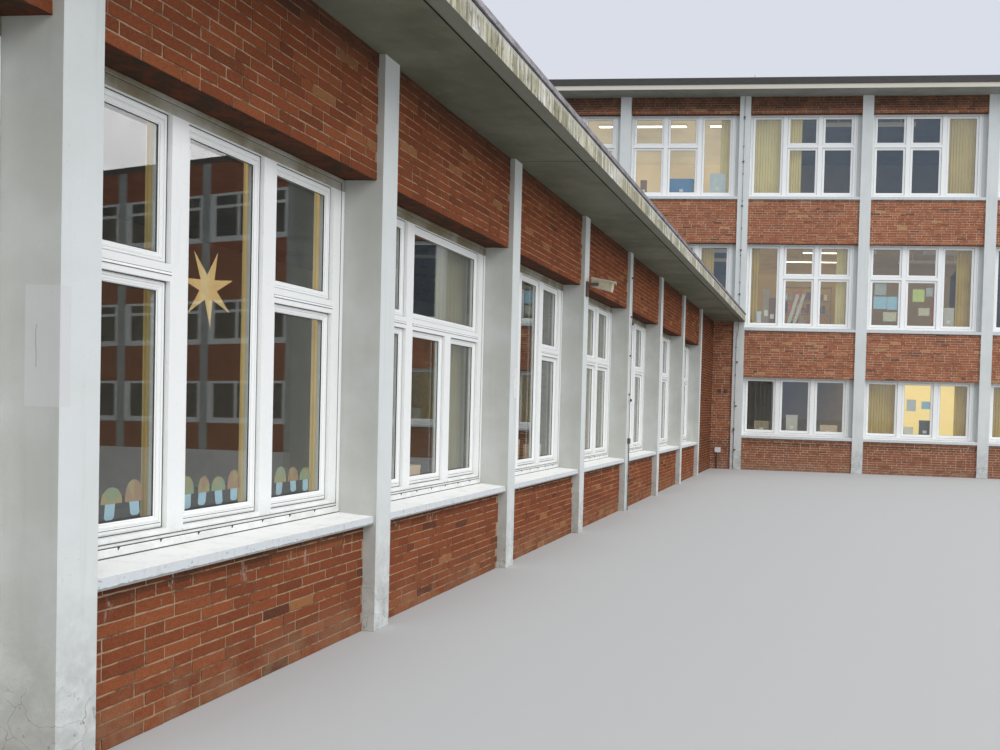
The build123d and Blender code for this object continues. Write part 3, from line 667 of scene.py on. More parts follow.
brickwork = {
    "course": 0.0625, "height": 0.0535, "length": 0.241, "header": 0.116, "joint": 0.009, "shift": 0.0625,
    "margin": 0.003, "shortest": 0.045, "proud": 0.004, "proud spread": 0.0008, "arris": 0.002,
    "wobble": 0.0009, "slit share": 0.02, "slit": 0.007, "slit foot": 0.006, "slit proud": 0.0025}


def courses(width, height, rng):
    # rows of stretchers with a header now and then, each row shifted by a quarter of a brick or so
    length, header, shift, margin = [brickwork[key] for key in ("length", "header", "shift", "margin")]
    bricks = []
    low = 0.0
    row = 0
    while low < height - 0.012:
        high = min(low + brickwork["height"], height - 0.001)
        left = -length + (row % 2) * shift + rng.choice((0.0, shift, 2 * shift))
        run = rng.randint(1, 4)
        while left < width:
            long = header if run == 0 else length
            run = rng.randint(2, 5) if run == 0 else run - 1
            start = max(left, margin)
            end = min(left + long, width - margin)
            if end - start > brickwork["shortest"]:
                bricks.append((start, end, low, high))
            left += long + brickwork["joint"]
        low += brickwork["course"]
        row += 1
    return np.array(bricks)


def layBricks(shape, wall, seed, detail, slits=None):
    # detail 2 has chipped, wobbly edges, 1 a neat arris, and 0 only sloped sides
    rng = np.random.default_rng(seed)
    rows = courses(wall.width, wall.height, random.Random(seed))
    count = len(rows)
    arris, slit = brickwork["arris"], brickwork["slit"]
    # under a few bricks the bed joint is left open, and its shade is painted as a dark strip
    if slits:
        for index in np.nonzero(rng.random(count) < brickwork["slit share"])[0]:
            start, end, low, high = rows[index]
            foot = max(low - brickwork["slit foot"], 0.001)
            slits.box(wall, start, end, foot, low + slit, 0, brickwork["slit proud"])
            rows[index, 2] += slit
    # points round a brick's outline, as shares of its length and height
    long, tall = (5, 2) if detail == 2 else (1, 1)
    outline = [(i / long, 0) for i in range(long)] + [(1, i / tall) for i in range(tall)]
    outline += [(1 - i / long, 1) for i in range(long)] + [(0, 1 - i / tall) for i in range(tall)]
    outline = np.array(outline)
    ring = len(outline)
    size = np.stack([rows[:, 1] - rows[:, 0], rows[:, 3] - rows[:, 2]], 1)
    flat = rows[:, None, [0, 2]] + outline[None] * size[:, None, :]
    chip = 0.0
    if detail == 2:
        flat = flat + rng.normal(0, brickwork["wobble"], flat.shape)
        flat[:, :, 1] = np.maximum(flat[:, :, 1], 0.0)
        chip = rng.random((count, ring, 1)) * 0.9
    inward = np.sign((0.5 - outline).round(3)) * (np.abs(0.5 - outline) > 0.45)
    inset = flat + inward[None] * arris * (1 + chip)
    proud = brickwork["proud"] + rng.normal(0, brickwork["proud spread"], (count, 1, 1))
    levels = [(flat, 0.0), (flat, proud - arris * 0.8), (inset, proud)]
    if detail == 0:
        levels = [levels[0], levels[2]]
    around = np.ones((count, ring, 1))
    points = np.concatenate([np.concatenate([p, around * h], 2) for p, h in levels], 1)
    step = ring * len(levels)
    faces = []
    for base in range(0, step - ring, ring):
        for i in range(base, base + ring):
            j = base + (i + 1 - base) % ring
            faces.append((i, j, j + ring, i + ring))
    faces += [tuple(range(step - ring, step)), tuple(range(ring - 1, -1, -1))]
    tone = np.repeat(np.clip(rng.normal(0.5, 0.17, count), 0, 1), len(faces))
    odd = np.repeat(rng.random(count), len(faces))
    everyFace = [tuple(np.asarray(face) + index * step) for index in range(count) for face in faces]
    shape.add(wall, points.reshape(-1, 3), everyFace, tone=tone, odd=odd)
    return count


# the bricks' piece, the node that they lie on, the way that it faces, and their clay
panels = [
    ("apronBricks", "wing_front_aprons", (1, 0, 0), "brick"),
    ("headBricks", "wing_front_heads", (1, 0, 0), "brick"),
    ("rearApronBricks", "wing_rear_aprons", (-1, 0, 0), "brick"),
    ("rearHeadBricks", "wing_rear_heads", (-1, 0, 0), "brick"),
    ("wingEndBricks", "wing_end_wall", (0, -1, 0), "brick"),
    ("blockBricks", "block_front_bricks", (0, -1, 0), "block brick"),
    ("blockRearBricks", "block_rear_bricks", (0, 1, 0), "block brick"),
    ("blockLeftBricks", "block_left_wall", (-1, 0, 0), "block brick"),
    ("blockRightBricks", "block_right_wall", (1, 0, 0), "block brick"),
    ("cornerBricks", "wing_corner_walls", None, "shaded corner brick")]
nearEnd = firstPier + 3 * wingBay
slits = Shape("jointSlits")
laid = 0
for number, (title, node, out, clay) in enumerate(panels, 1):
    shape = Shape(title)
    for index, (low, high) in enumerate(looseBoxes(node)):
        near = node.startswith("wing_front") and low.y < nearEnd
        detail = 2 if near else int("front" in node or out is None)
        way = out or ((1, 0, 0) if high.x > wingFace - 1 else (-1, 0, 0))
        opened = slits if title == "blockBricks" else None
        laid += layBricks(shape, Wall(low, high, way), 100 * number + index, detail, opened)
    shape.build(clay, "brick")
slits.build("rubber and shade", "seal_rubber")
print("bricks laid:", laid)


# Windows: seals and dark lines of painted shade, beads, raised stiles, frame strips and drain caps

sashSizes = {
    "wing": {"side": 0.046, "foot": 0.058, "head": 0.058},
    "block": {"side": 0.058, "foot": 0.068, "head": 0.052},
    "glass depth": 0.04, "sash depth": 0.028, "seal": 0.009, "seal height": 0.004, "bead": 0.022,
    "bead overlap": 0.005, "stile edge": 0.009, "stile raise": 0.006, "strip side": 0.03, "strip top": 0.025,
    "strip foot": 0.024, "proud": 0.008}
footMember = {
    "strip foot": 0.0445, "lip": (0.067, 0.0915), "lip proud": 0.005, "strip": (0.049, 0.064),
    "strip proud": 0.004, "line": 0.0028, "cap spacing": 0.27, "cap": (0.009, 0.004, 0.013), "groove": 0.032}
# the bar under each upper sash, measured down from its pane
weatherBar = {"top": 0.087, "foot": 0.099, "proud": 0.007, "line": 0.0028}


def inside(edges, by):
    left, right, low, high = edges
    return left + by, right - by, low + by, high - by


def square(low, top):
    return [(0, low), (0, top), (1, top), (1, low)]


def eased(low, top, share):
    # a flat-topped bar with both edges eased
    return [(0, low), (0, top - 0.002), (share, top), (1 - share, top), (1, top - 0.002), (1, low)]


def dressPane(beads, seals, wall, side, foot, head):
    # side, foot and head are the sash's widths beyond the pane
    pane = wall.edges
    sash = (-side, wall.width + side, -foot, wall.height + head)
    face = sashSizes["glass depth"] - sashSizes["sash depth"]
    bead, over = sashSizes["bead"], sashSizes["bead overlap"]
    seals.ring(wall, pane, inside(pane, sashSizes["seal"]), square(0, sashSizes["seal height"]))
    beads.ring(wall, inside(pane, -bead), inside(pane, over), [
        (0, face), (0, face + 0.003), (0.35, face + 0.0035), (0.95, 0.006), (1, 0.0045)])
    stile = eased(face, face + sashSizes["stile raise"], 0.15)
    beads.ring(wall, inside(sash, sashSizes["stile edge"]), inside(pane, -bead - 0.002), stile)
    # a dark ring at the sash's joint with the frame: a seal, with painted shade of the joint
    seals.ring(wall, sash, inside(sash, 0.004), square(face, face + 0.002))


def dressFrame(beads, seals, caps, wall, fine):
    side, top, foot, proud = [sashSizes[key] for key in ("strip side", "strip top", "strip foot", "proud")]
    foot = footMember["strip foot"] if fine else foot
    opening = (side, wall.width - side, foot, wall.height - top)
    beads.ring(wall, inside(wall.edges, 0.001), opening, eased(0, proud, 0.1))
    # a dark line round the strips' opening: painted shade of the groove
    seals.ring(wall, opening, inside(opening, 0.003), square(0, 0.0015))
    seals.box(wall, 0.0, wall.width, -0.001, 0.005, 0, proud + 0.001)
    if not fine:
        return
    low, high = footMember["strip"]
    out = footMember["strip proud"]
    left, right = side + 0.004, wall.width - side - 0.004
    outline = [(low, 0), (low, out - 0.001), (low + 0.003, out), (high, out - 0.001), (high, 0)]
    beads.strip(wall, left, right, outline)
    # dark lines under and over the foot strip: painted shade
    for up in (footMember["strip foot"], high):
        seals.box(wall, left, right, up, up + footMember["line"], 0, proud - 0.001)
    wide, narrow, tall = footMember["cap"]
    # each cap is a hood over the drain slot with a narrow spout below it
    hood = (wide, foot - 0.005, foot + 0.001, 0.005, 0.003)
    spout = (narrow, foot - tall, foot - 0.0045, 0.002, 0.004)
    along = side + 0.12
    while along < wall.width - side - 0.08:
        for reach, low, high, lower, upper in (hood, spout):
            caps.strip(wall, along, along + reach, [
                (low, proud - 0.001), (low, proud + lower), (high, proud + upper), (high, proud - 0.001)])
        along += footMember["cap spacing"]


def dressFoot(beads, seals, wall, edge, gap):
    # lip over the foot member with a dark line of painted shade above it, and a dark strip as the painted
    # shade of a groove in the member; gap is the pane's height over the frame's foot
    low, high = footMember["lip"]
    tall, up = high - low, low - gap
    top = up + tall
    near, far = 0.012, sashSizes["glass depth"] + footMember["lip proud"]
    beads.strip(wall, -edge, wall.width + edge, [
        (up, near), (up, far - 0.002), (up + 0.003, far), (up + tall * 0.6, far), (top, near + 0.014),
        (top, near)])
    seals.box(wall, -edge, wall.width + edge, top, top + footMember["line"], near, near + 0.018)
    groove = footMember["groove"]
    seals.box(wall, -0.03, wall.width + 0.03, -groove, footMember["line"] - groove, near, near + 0.0068)


def dressBar(beads, seals, wall, edge):
    near = sashSizes["glass depth"]
    top, bottom, far = -weatherBar["top"], -weatherBar["foot"], near + weatherBar["proud"]
    line = weatherBar["line"]
    back = near - 0.001
    beads.strip(wall, -edge, wall.width + edge, [
        (bottom, back), (bottom, far - 0.001), (bottom + 0.002, far), (top, far - 0.003), (top, back)])
    # dark lines at the bar's upper edge and below its foot: painted shade
    for low in (bottom - line, top):
        seals.box(wall, -edge, wall.width + edge, low, low + line, back, near + 0.002)


def dressWindows(side):
    out = outward[side]
    kind = sashSizes[side.split("_")[0]]
    beads, seals, caps = [Shape(side + ending) for ending in ("_beads", "_seals", "_drain_caps")]
    frames = looseBoxes(side + "_frames")
    for low, high in frames:
        dressFrame(beads, seals, caps, Wall(low, high, out), side == "wing_front")
    for low, high in looseBoxes(side + "_glass"):
        wall = Wall(low, high, out)
        middle = (low + high) / 2
        holder = [f for f in frames if all(f[0][i] - 0.1 < middle[i] < f[1][i] + 0.1 for i in range(3))][0]
        gap = low.z - holder[0].z
        foot = kind["foot"] if gap < 0.2 else kind["side"]
        head = kind["head"] if holder[1].z - high.z < 0.2 else kind["side"]
        dressPane(beads, seals, wall, kind["side"], foot, head)
        if side == "wing_front" and gap < 0.2:
            dressFoot(beads, seals, wall, kind["side"] + 0.006, gap)
        elif side == "wing_front":
            dressBar(beads, seals, wall, kind["side"] + 0.006)
    beads.build("window" if "wing" in side else "block window", "window_frame")
    for shape in (seals, caps):
        if shape.count:
            shape.build("rubber and shade", "seal_rubber")


for side in outward:
    dressWindows(side)
print("windows dressed")


# Behind the panes: window boards, rails, curtains, papers and what stands on the boards

windowBoard = {
    "wall": {"wing": 0.115, "block": 0.15}, "ledge": {"wing": 0.075, "block": 0.095}, "frame": 0.07,
    "reach": 0.19, "under": 0.01, "over": 0.028}


def windowBoards(side):
    kind = side.split("_")[0]
    wallIn, ledge = windowBoard["wall"][kind], windowBoard["ledge"][kind]
    inner, reach, under, over = [windowBoard[key] for key in ("frame", "reach", "under", "over")]
    front = -wallIn - reach
    outline = [(over, -inner), (over, front + 0.006), (over * 0.6, front - 0.004), (-under, front),
               (-under, -wallIn), (-ledge, -wallIn), (-ledge, -inner)]
    shape = Shape(side + "_window_boards")
    for low, high in looseBoxes(side + "_frames"):
        if low.z > 0.5:
            wall = Wall(low, high, outward[side])
            shape.strip(wall, 0.002, wall.width - 0.002, outline)
    shape.build("board", "room_things")


for side in outward:
    windowBoards(side)


def windowWall(side, bay, storey):
    # the wall of one window's frame: bays count from the pier beside the wing, or from the wing's joint pier
    start = bayStart(bay) if "block" in side else firstPier + bay * wingBay
    axis = 0 if "block" in side else 1
    found = [b for b in looseBoxes(side + "_frames") if abs(b[0][axis] - start) < 0.5]
    low, high = sorted(found, key=lambda b: b[0].z)[storey]
    return Wall(low, high, outward[side])


def innerFace(side):
    # the inside of a wall, measured outwards from its window frame's face
    return -windowBoard["wall"][side.split("_")[0]]


rail = {
    "up": 0.055, "out": 0.06, "width": 0.024, "height": 0.03, "over": 0.02, "slot": 0.004,
    "slot height": 0.006, "bracket": 0.02, "brackets": (0.04, 0.5, 0.96)}


def hangRail(shape, wall, back):
    up, tall, half = wall.height + rail["up"], rail["height"], rail["width"] / 2
    middle = back - rail["out"]
    slot, slotTop = rail["slot"], up + rail["slot height"]
    shape.strip(wall, -rail["over"], wall.width + rail["over"], [
        (up + tall, middle - half), (up + tall, middle + half), (up, middle + half), (up, middle + slot),
        (slotTop, middle + slot), (slotTop, middle - slot), (up, middle - slot), (up, middle - half)])
    for share in rail["brackets"]:
        along = wall.width * share
        near, far = middle + half - 0.001, back + 0.0005
        shape.box(wall, along, along + rail["bracket"], up + tall * 0.4, up + tall, near, far)


curtainFolds = {
    "foot": 0.06, "hook": 0.004, "fold": 0.075, "columns": 10, "rows": 9, "uneven": (0.75, 1.25),
    "lean": (-0.012, 0.012), "deepest": 0.05}


def foldDepth(fold, fullness):
    # found from the fullness, by the length of one wave
    depth = 0.0
    while True:
        depth += 0.0005
        run = [Vector((fold * i / 40, depth * math.sin(math.tau * i / 40))) for i in range(41)]
        length = sum((b - a).length for a, b in zip(run, run[1:]))
        if length > fold * fullness or depth > curtainFolds["deepest"]:
            return depth


def hangCurtain(name, wall, back, left, right, fullness, cloth, seed):
    # one width of cloth in folds below its rail, gathered a little unevenly
    rng = random.Random(seed)
    low, high = curtainFolds["foot"], wall.height + rail["up"] + curtainFolds["hook"]
    middle = back - rail["out"]
    width = right - left
    folds = max(3, round(width / curtainFolds["fold"]))
    columns, rows = folds * curtainFolds["columns"] + 1, curtainFolds["rows"]
    swing = [rng.uniform(*curtainFolds["uneven"]) for _ in range(folds + 2)]
    lean = [rng.uniform(*curtainFolds["lean"]) for _ in range(folds + 2)]
    depth = foldDepth(width / folds, fullness)
    local = []
    for row in range(rows):
        drop = row / (rows - 1)
        for column in range(columns):
            share = column / (columns - 1)
            fold = share * folds
            index = int(fold)
            wave = math.sin(math.tau * fold) * depth * swing[index] * (0.75 + 0.35 * drop)
            along = left + width * share + lean[index] * drop * math.sin(math.pi * (fold - index))
            local.append((along, high - (high - low) * drop, middle + wave))
    corners = [row * columns + column for row in range(rows - 1) for column in range(columns - 1)]
    shape = Shape(name)
    shape.add(wall, local, [(a, a + columns, a + columns + 1, a + 1) for a in corners])
    piece = shape.build(cloth, "curtain_yellow", smooth=True)


# by side, bay and storey counted from the top: left, right, fullness and cloth of each curtain
curtains = {
    ("block_front", -1, -1): [(2.36, 2.66, 1.5, "cream")],
    ("block_front", 0, -1): [(0.03, 0.82, 1.25, "cream"), (1.0, 1.34, 1.5, "cream")],
    ("block_front", 1, -1): [(1.94, 2.68, 1.4, "beige")],
    ("block_front", 0, -2): [(0.01, 0.3, 1.6, "ochre"), (2.34, 2.73, 1.5, "cream")],
    ("block_front", 1, -2): [(2.26, 2.7, 1.5, "ochre")],
    ("block_front", -1, -2): [(1.9, 2.27, 1.5, "ochre")],
    ("block_front", 1, -3): [(0.12, 0.84, 1.4, "ochre"), (2.33, 2.74, 1.5, "ochre")],
    ("block_front", 2, -3): [(0.08, 0.36, 1.5, "ochre")],
    ("block_front", 2, -1): [(0.05, 0.6, 1.4, "beige")],
    ("wing_front", 0, 0): [
        (1.545, 1.64, 2.0, "pale"), (2.275, 2.4, 2.0, "pale"), (0.78, 0.86, 2.0, "cream")],
    ("wing_front", 1, 0): [(1.62, 2.33, 1.35, "dim")],
    ("wing_front", 2, 0): [(0.16, 0.46, 1.5, "dim")],
    ("wing_front", 3, 0): [(1.7, 2.1, 1.5, "ochre")]}
rails = Shape("curtainRails")
for window in sorted(curtains):
    hangRail(rails, windowWall(*window), innerFace(window[0]))
rails.build("board", "room_things")
hung = 0
for window, row in curtains.items():
    for left, right, fullness, cloth in row:
        hung += 1
        name = "curtain_%02d" % hung
        hangCurtain(name, windowWall(*window), innerFace(window[0]), left, right, fullness, cloth, 39 + hung)
print("curtains hung:", hung)


# left, right, height, depth share and colour number of what stands on the window boards
standing = {
    ("block_front", -1, -1): [
        (1.01, 1.65, 0.5, 0.9, 0), (2.1, 2.52, 0.64, 0.6, 8), (0.22, 0.38, 0.46, 0.5, 2)],
    ("block_front", -2, -1): [(0.2, 0.74, 0.45, 0.9, 4), (1.1, 1.5, 0.7, 0.8, 3), (2.1, 2.6, 0.35, 0.9, 7)],
    ("block_front", 0, -2): [
        (0.28, 0.4, 0.42, 0.5, 8), (0.44, 0.62, 1.02, 0.2, 7), (0.6, 0.78, 0.78, 0.3, 2)],
    ("block_front", 1, -2): [(1.98, 2.24, 0.6, 0.5, 3), (1.66, 1.96, 0.86, 0.3, 9)],
    ("block_front", 0, -3): [(0.3, 0.7, 0.34, 0.8, 7), (1.15, 1.45, 0.52, 0.7, 3), (2.05, 2.5, 0.28, 0.9, 4)],
    ("block_front", 1, -3): [(1.45, 1.74, 0.48, 0.6, 6), (1.06, 1.3, 0.3, 0.8, 5)],
    ("block_front", 2, -3): [(0.55, 0.85, 0.4, 0.8, 3), (1.2, 1.66, 0.3, 0.9, 7)],
    ("wing_front", 1, 0): [(0.35, 0.58, 0.26, 0.8, 7), (0.98, 1.3, 0.2, 0.8, 4)],
    ("wing_front", 2, 0): [(0.95, 1.25, 0.34, 0.8, 4), (1.75, 2.0, 0.26, 0.8, 5)]}
carton = {
    "behind": 0.012, "lid": 0.86, "lid over": 0.004, "label": 0.05, "label foot": 0.3, "label top": 0.45}


def standThings(shape):
    for (side, bay, storey), row in standing.items():
        wall = windowWall(side, bay, storey)
        back = innerFace(side) - carton["behind"]
        low = windowBoard["over"]
        for left, right, height, share, tint in row:
            # a carton or book box with its lid and a label
            front = back - (windowBoard["reach"] - 0.03) * share
            lid, top, over = low + height * carton["lid"], low + height, carton["lid over"]
            shape.box(wall, left, right, low, lid, front, back, tint=tint)
            shape.box(wall, left - over, right + over, lid, top, front - over, back + over, tint=tint)
            middle, half = (left + right) / 2, carton["label"]
            foot, top = low + height * carton["label foot"], low + height * carton["label top"]
            shape.box(wall, middle - half, middle + half, foot, top, back, back + 0.002, tint=5)


rack = {
    "window": ("block_front", 0, -2), "left": 0.98, "right": 2.24, "shelves": (0.05, 0.4, 0.75, 1.1),
    "board": 0.022, "behind": 0.045, "deep": 0.15, "tints": (2, 9, 7, 3, 4, 9, 6, 2, 9),
    "leaning": ((1.1, 1.36), (1.24, 1.52))}


def fillRack(shape):
    # an open rack full of small stuff, and two leaning boards before it
    rng = random.Random(7)
    wall = windowWall(*rack["window"])
    front = innerFace("block") - rack["behind"]
    rear = front - rack["deep"]
    left, right, board, shelves = rack["left"], rack["right"], rack["board"], rack["shelves"]
    foot = windowBoard["over"] - 0.001
    for along in (left, right - board):
        shape.box(wall, along, along + board, foot, shelves[-1] + board, rear, front, tint=2)
    for up in shelves:
        shape.box(wall, left + board, right - board, up, up + board, rear, front, tint=7)
    for up, above in zip(shelves, shelves[1:]):
        along = left + board + 0.01
        while along < right - 0.16:
            width = rng.uniform(0.05, 0.15)
            tall = rng.uniform(0.4, 0.92) * (above - up - board)
            near = front - rng.uniform(0.0, 0.03)
            tint = rng.choice(rack["tints"])
            low, high = up + board - 0.001, up + board + tall
            shape.box(wall, along, along + width, low, high, rear + 0.02, near, tint=tint)
            along += width + rng.uniform(0.004, 0.03)
    half, top = 0.045, 0.92
    for low, high in rack["leaning"]:
        outline = [(low - half, foot), (low + half, foot), (high + half, top), (high - half, top)]
        shape.cutOut(wall, outline, front + 0.003, front + 0.025, tint=3)


things = Shape("boardThings")
standThings(things)
fillRack(things)
things.build("things", "room_things")

# left, right, low, high and colour number of sheets of paper held against the panes
pinned = {
    ("block_front", 1, -2): [
        (0.18, 0.48, 0.92, 1.22, 3), (0.16, 0.5, 0.56, 0.88, 2), (0.51, 0.83, 0.54, 0.88, 2),
        (0.42, 0.76, 0.24, 0.48, 5), (1.16, 1.46, 0.76, 1.08, 6), (1.5, 1.68, 0.9, 1.12, 3),
        (1.32, 1.6, 0.4, 0.6, 5)],
    ("block_front", 1, -3): [(1.48, 1.7, 0.8, 1.0, 2), (1.1, 1.34, 0.74, 1.04, 7)],
    ("wing_front", 1, 0): [
        (0.34, 0.4, 0.18, 0.24, 7), (0.44, 0.5, 0.18, 0.24, 2), (0.54, 0.6, 0.18, 0.24, 7)]}
paperBack = -sashSizes["glass depth"] - 0.0245      # just behind a pane
paperThick = 0.0006
domePapers = {
    "tag": 0.164, "rim": 0.24, "top": 0.328, "slices": 4, "tag half": 0.03, "tag corner": 0.012, "arc": 5,
    "tints": (0, 1, 4, 0, 4, 1), "tag tint": 8}
# left and right of each dome
domeRows = [
    (0.401, 0.528), (0.545, 0.661), (0.906, 1.02), (1.052, 1.142), (1.158, 1.272), (1.29, 1.396),
    (1.725, 1.845), (1.86, 1.972), (1.988, 2.11)]
starPaper = {"centre": (1.105, 1.345), "radii": (0.215, 0.07), "points": 7, "turn": 0.35, "tint": 9}


def domeSlice(left, right, low, high, index):
    # one slice of a paper dome, fanned out from the middle of its rim
    middle, half = (left + right) / 2, (right - left) / 2
    slices, arc = domePapers["slices"], domePapers["arc"]
    outline = [(middle, low)]
    for i in range(arc + 1):
        turn = math.pi * (index + i / arc) / slices
        outline.append((middle + half * math.cos(turn), low + (high - low) * math.sin(turn) ** 0.8))
    return outline


def domePaper(shape, wall, number, left, right):
    # the domes and their tags differ a little in height and lean
    low, high = domePapers["rim"], domePapers["top"] + 0.01 * (number * 3 % 4 - 1)
    for index in range(domePapers["slices"]):
        tint = domePapers["tints"][(number * 5 + index * 2) % len(domePapers["tints"])]
        outline = domeSlice(left, right, low, high, index)
        shape.cutOut(wall, outline, paperBack - paperThick, paperBack, tint=tint)
    middle = (left + right) / 2 + 0.006 * (number % 3 - 1)
    half, foot = domePapers["tag half"], domePapers["tag"] + 0.008 * (number % 2)
    lean, corner = 0.008 * (number * 2 % 3 - 1), domePapers["tag corner"]
    tag = [(middle - half * 0.6 + lean, foot), (middle + half * 0.6 + lean, foot),
           (middle + half + lean, foot + corner), (middle + half, low + corner),
           (middle - half, low + corner), (middle - half + lean, foot + corner)]
    shape.cutOut(wall, tag, paperBack - 0.0014, paperBack - 0.0008, tint=domePapers["tag tint"])


def stickPapers():
    shape = Shape("panePapers")
    for window, sheets in pinned.items():
        wall = windowWall(*window)
        for left, right, low, high, tint in sheets:
            outline = [(left, low), (right, low), (right, high), (left, high)]
            shape.cutOut(wall, outline, paperBack - paperThick, paperBack, tint=tint)
    wall = windowWall("wing_front", 0, 0)
    for number, (left, right) in enumerate(domeRows):
        domePaper(shape, wall, number, left, right)
    x, z = starPaper["centre"]
    outline = []
    for i in range(2 * starPaper["points"]):
        radius = starPaper["radii"][i % 2]
        angle = math.pi * i / starPaper["points"] + starPaper["turn"]
        outline.append((x + radius * math.sin(angle), z + radius * math.cos(angle)))
    shape.cutOut(wall, outline[::-1], paperBack - paperThick, paperBack, tint=starPaper["tint"])
    shape.build("paper", "paper")


stickPapers()
print("rooms furnished behind the panes")


# Small metal: clamps on the rods, and a plate on a pier

clamps = {
    "spacing": 1.15, "first": 0.5, "width": 0.05, "height": 0.028, "eye": 0.012, "eye over": 0.006,
    "edge": 0.013}


def fitClamps():
    shape = Shape("rodClamps")
    rods = [b for b in looseBoxes("lightning_conductors") if b[1].z - b[0].z > 1]
    half, tall, eye, over = [clamps[key] for key in ("width", "height", "eye", "eye over")]
    half = half / 2
    for low, high in rods:
        wall = Wall(low, high, outward["wing_front" if high.y < blockFace - 1 else "block_front"])
        middle = wall.width / 2 if wall.width < 0.05 else wall.width - clamps["edge"]
        up = clamps["first"]
        while up < wall.height - 0.1:
            shape.box(wall, middle - half, middle + half, up, up + tall, -0.018, 0.003)
            shape.box(wall, middle - eye, middle + eye, up - over, up + tall + over, -0.02, 0.006)
            up += clamps["spacing"]
    shape.build("steel", "lamp_steel")


fitClamps()

plate = {"pier": 3, "edges": (0.1, 0.19, 1.62, 1.91), "rim": 0.015, "rim height": 0.004, "proud": 0.0035}


def fixPlate():
    shape = Shape("pierPlates")
    wall = Wall(*looseBoxes("wing_front_piers")[plate["pier"]], outward["wing_front"])
    rim = plate["rim height"]
    profile = [(0, 0), (0, rim), (1, rim + 0.001), (1, 0)]
    shape.ring(wall, plate["edges"], inside(plate["edges"], plate["rim"]), profile)
    shape.box(wall, *inside(plate["edges"], plate["rim"] - 0.002), 0, plate["proud"])
    shape.build("plastic", "service_plastic")


fixPlate()


# Studio: floor, light, the reflected wall and the photograph's view

cameraView = {
    "place": (3.0172, -3.2853, 1.5752), "yaw": -0.109623, "pitch": -0.023359, "roll": 0.029888,
    "focal": 903.28, "centre": (729.45, 430.28), "picture": (1000, 750), "sensor": 36.0}


def makeCamera():
    yaw, pitch, roll = cameraView["yaw"], cameraView["pitch"], cameraView["roll"]
    ahead = Vector((math.sin(yaw) * math.cos(pitch), math.cos(yaw) * math.cos(pitch), math.sin(pitch)))
    right = Vector((math.cos(yaw), -math.sin(yaw), 0))
    down = ahead.cross(right)
    tiltedRight = right * math.cos(roll) - down * math.sin(roll)
    tiltedDown = right * math.sin(roll) + down * math.cos(roll)
    data = bpy.data.cameras.new("view")
    width, height = cameraView["picture"]
    data.sensor_width = cameraView["sensor"]
    data.lens = cameraView["focal"] / width * cameraView["sensor"]
    data.shift_x = (width / 2 - cameraView["centre"][0]) / width
    data.shift_y = (cameraView["centre"][1] - height / 2) / width
    data.clip_end = 300
    camera = bpy.data.objects.new("view", data)
    x, y, z = cameraView["place"]
    turn = Matrix((tiltedRight, -tiltedDown, -ahead)).transposed()
    camera.matrix_world = Matrix.Translation((wingFace + x, firstPier + y, z)) @ turn.to_4x4()
    bpy.context.scene.collection.objects.link(camera)
    bpy.context.scene.camera = camera


def flatPanel(name, corners, material):
    mesh = bpy.data.meshes.new(name)
    mesh.from_pydata(corners, [], [(0, 1, 2, 3)])
    mesh.materials.append(material)
    panel = bpy.data.objects.new(name, mesh)
    bpy.context.scene.collection.objects.link(panel)
    return panel


# rows are a storey's lower and upper window edge and its transom; panes are left and right in a bay
furtherBays = {
    "rows": ((0.83, 1.93, 3.0), (3.02, 4.17, 3.86), (5.85, 7.12, 6.75)),
    "panes": ((0.07, 0.7), (0.78, 1.41), (1.49, 2.12)), "bay": 0.8, "pier": 0.24, "frame": (0.62, 0.64, 0.62),
    "sill": (0.62, 0.64, 0.64), "roof": (0.1, 0.09, 0.08), "eave": 7.98, "top": 8.15, "shrink": 0.014,
    "dark": (0.03, 0.03, 0.03), "room": (0.17, 0.16, 0.14), "count": 6}
brightSky = {"pink": (1.0, 0.96, 0.97), "grey": (0.86, 0.85, 0.88), "strength": 3.3, "reach": 120, "top": 90}


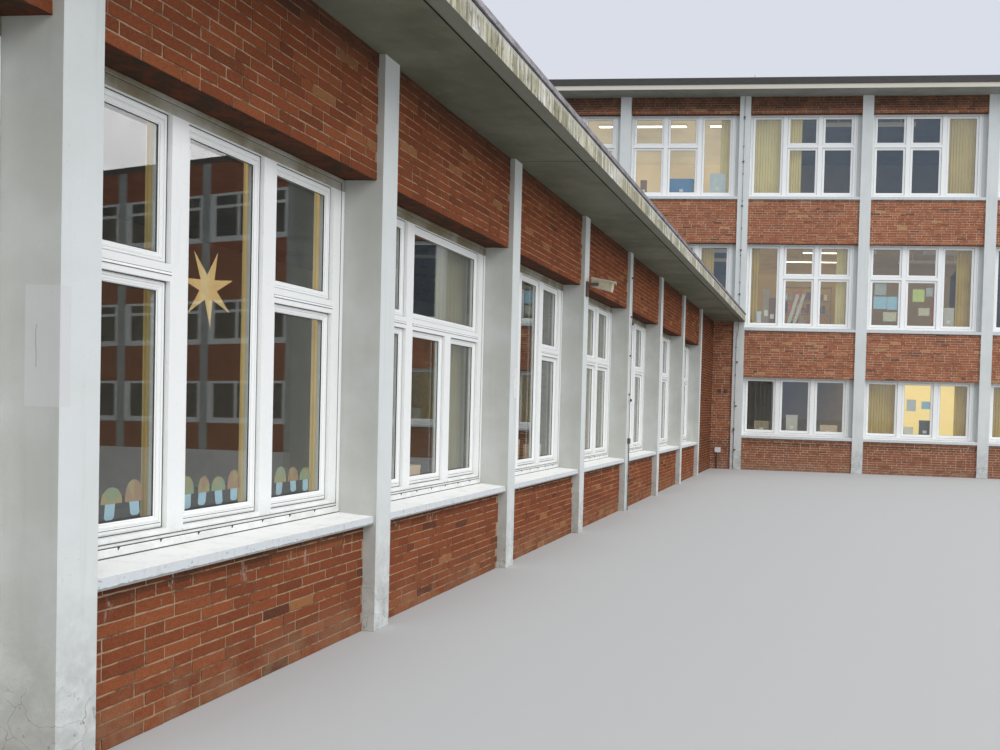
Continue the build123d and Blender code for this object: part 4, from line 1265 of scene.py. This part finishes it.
def reflectedWall():
    # the block's further bays, past the photograph's edge, as a card that only the panes reflect
    f = Finish("reflectedBays", Roughness=0.85)
    # the rows draw together with distance, as the wall runs away from the panes
    near = bayStart(3) + 4
    up = f.z / (1 - (f.x - near) * furtherBays["shrink"])
    bay = blockBay * furtherBays["bay"]
    along = f.maths("MODULO", f.x - near + 10 * bay, bay)
    red, brown = toned(blockGain, "red", "brown")
    colour = f.mix(f.noise(3, 4, 0.6), red, brown)
    for low, high, split in furtherBays["rows"]:
        colour = f.mix(f.within(up, low, high), colour, furtherBays["frame"])
        for left, right in furtherBays["panes"]:
            light = f.within(up, low + 0.08, split - 0.04) + f.within(up, split + 0.04, high - 0.07)
            pane = f.within(along, left, right) * light
            dark = f.mix(f.noise(1.7, 3, 0.6, seed=4), furtherBays["dark"], furtherBays["room"])
            colour = f.mix(pane * f.within(up, low + 0.08, high - 0.07), colour, dark)
        colour = f.mix(f.within(up, low - 0.07, low), colour, furtherBays["sill"])
    f.feed("Base Color", f.coats(
        colour, (along > bay - furtherBays["pier"], tuple(0.6 * c for c in paintedPier["cloud"])),
        (up > furtherBays["eave"], furtherBays["roof"])))
    left, right, y = blockRight, blockRight + furtherBays["count"] * blockBay, blockFace + 0.02
    tops = [furtherBays["top"] * (1 - (x - near) * furtherBays["shrink"]) for x in (left, right)]
    corners = [(left, y, 0), (right, y, 0), (right, y, tops[1]), (left, y, tops[0])]
    bays = flatPanel("reflectedBays", corners, f.material)
    # and the bright sky over them, which clouds a little
    strength = brightSky["strength"]
    f = Finish("reflectedSky", Base_Color=(0, 0, 0, 1), Roughness=1.0, Emission_Strength=strength)
    f.feed("Emission Color", f.mix(f.noise(0.05, 3), brightSky["pink"], brightSky["grey"]))
    right, top, y = left + brightSky["reach"], brightSky["top"], y + 1
    corners = [(left, y, 0), (right, y, 0), (right, y, top), (left, y, top)]
    sky = flatPanel("reflectedSky", corners, f.material)
    for card in (bays, sky):
        card.visible_camera = False
        card.visible_diffuse = False
        card.visible_shadow = False


studio = {
    "floor": (0.46, 0.46, 0.45), "floor reach": 150, "floor drop": 0.002, "sky": (0.7, 0.73, 0.81),
    "sky strength": 1.0, "sun": 2.6, "spread": 75, "sun direction": (-1.0, 0.7, -1.3)}


def makeStudio():
    f = Finish("paleFloor", Roughness=0.9, Specular_IOR_Level=0.1)
    f.feed("Base Color", f.mix(f.noise(0.05, 2), studio["floor"], tuple(0.97 * c for c in studio["floor"])))
    reach = studio["floor reach"]
    corners = [(-reach, -reach, 0), (reach, -reach, 0), (reach, reach, 0), (-reach, reach, 0)]
    flatPanel("studioFloor", corners, f.material).location.z = -studio["floor drop"]
    world = bpy.context.scene.world or bpy.data.worlds.new("studio")
    bpy.context.scene.world = world
    world.use_nodes = True
    back = world.node_tree.nodes["Background"]
    back.inputs["Color"].default_value = (*studio["sky"], 1)
    back.inputs["Strength"].default_value = studio["sky strength"]
    lamp = bpy.data.lights.new("softSun", "SUN")
    lamp.energy = studio["sun"]
    lamp.angle = math.radians(studio["spread"])
    sun = bpy.data.objects.new("softSun", lamp)
    sun.rotation_euler = Vector(studio["sun direction"]).to_track_quat("-Z", "Y").to_euler()
    bpy.context.scene.collection.objects.link(sun)
    bpy.context.scene.view_settings.view_transform = "Standard"


makeCamera()
makeStudio()
reflectedWall()
print("studio ready; triangles:", sum(triangles.values()), "most:", max(triangles.values()))
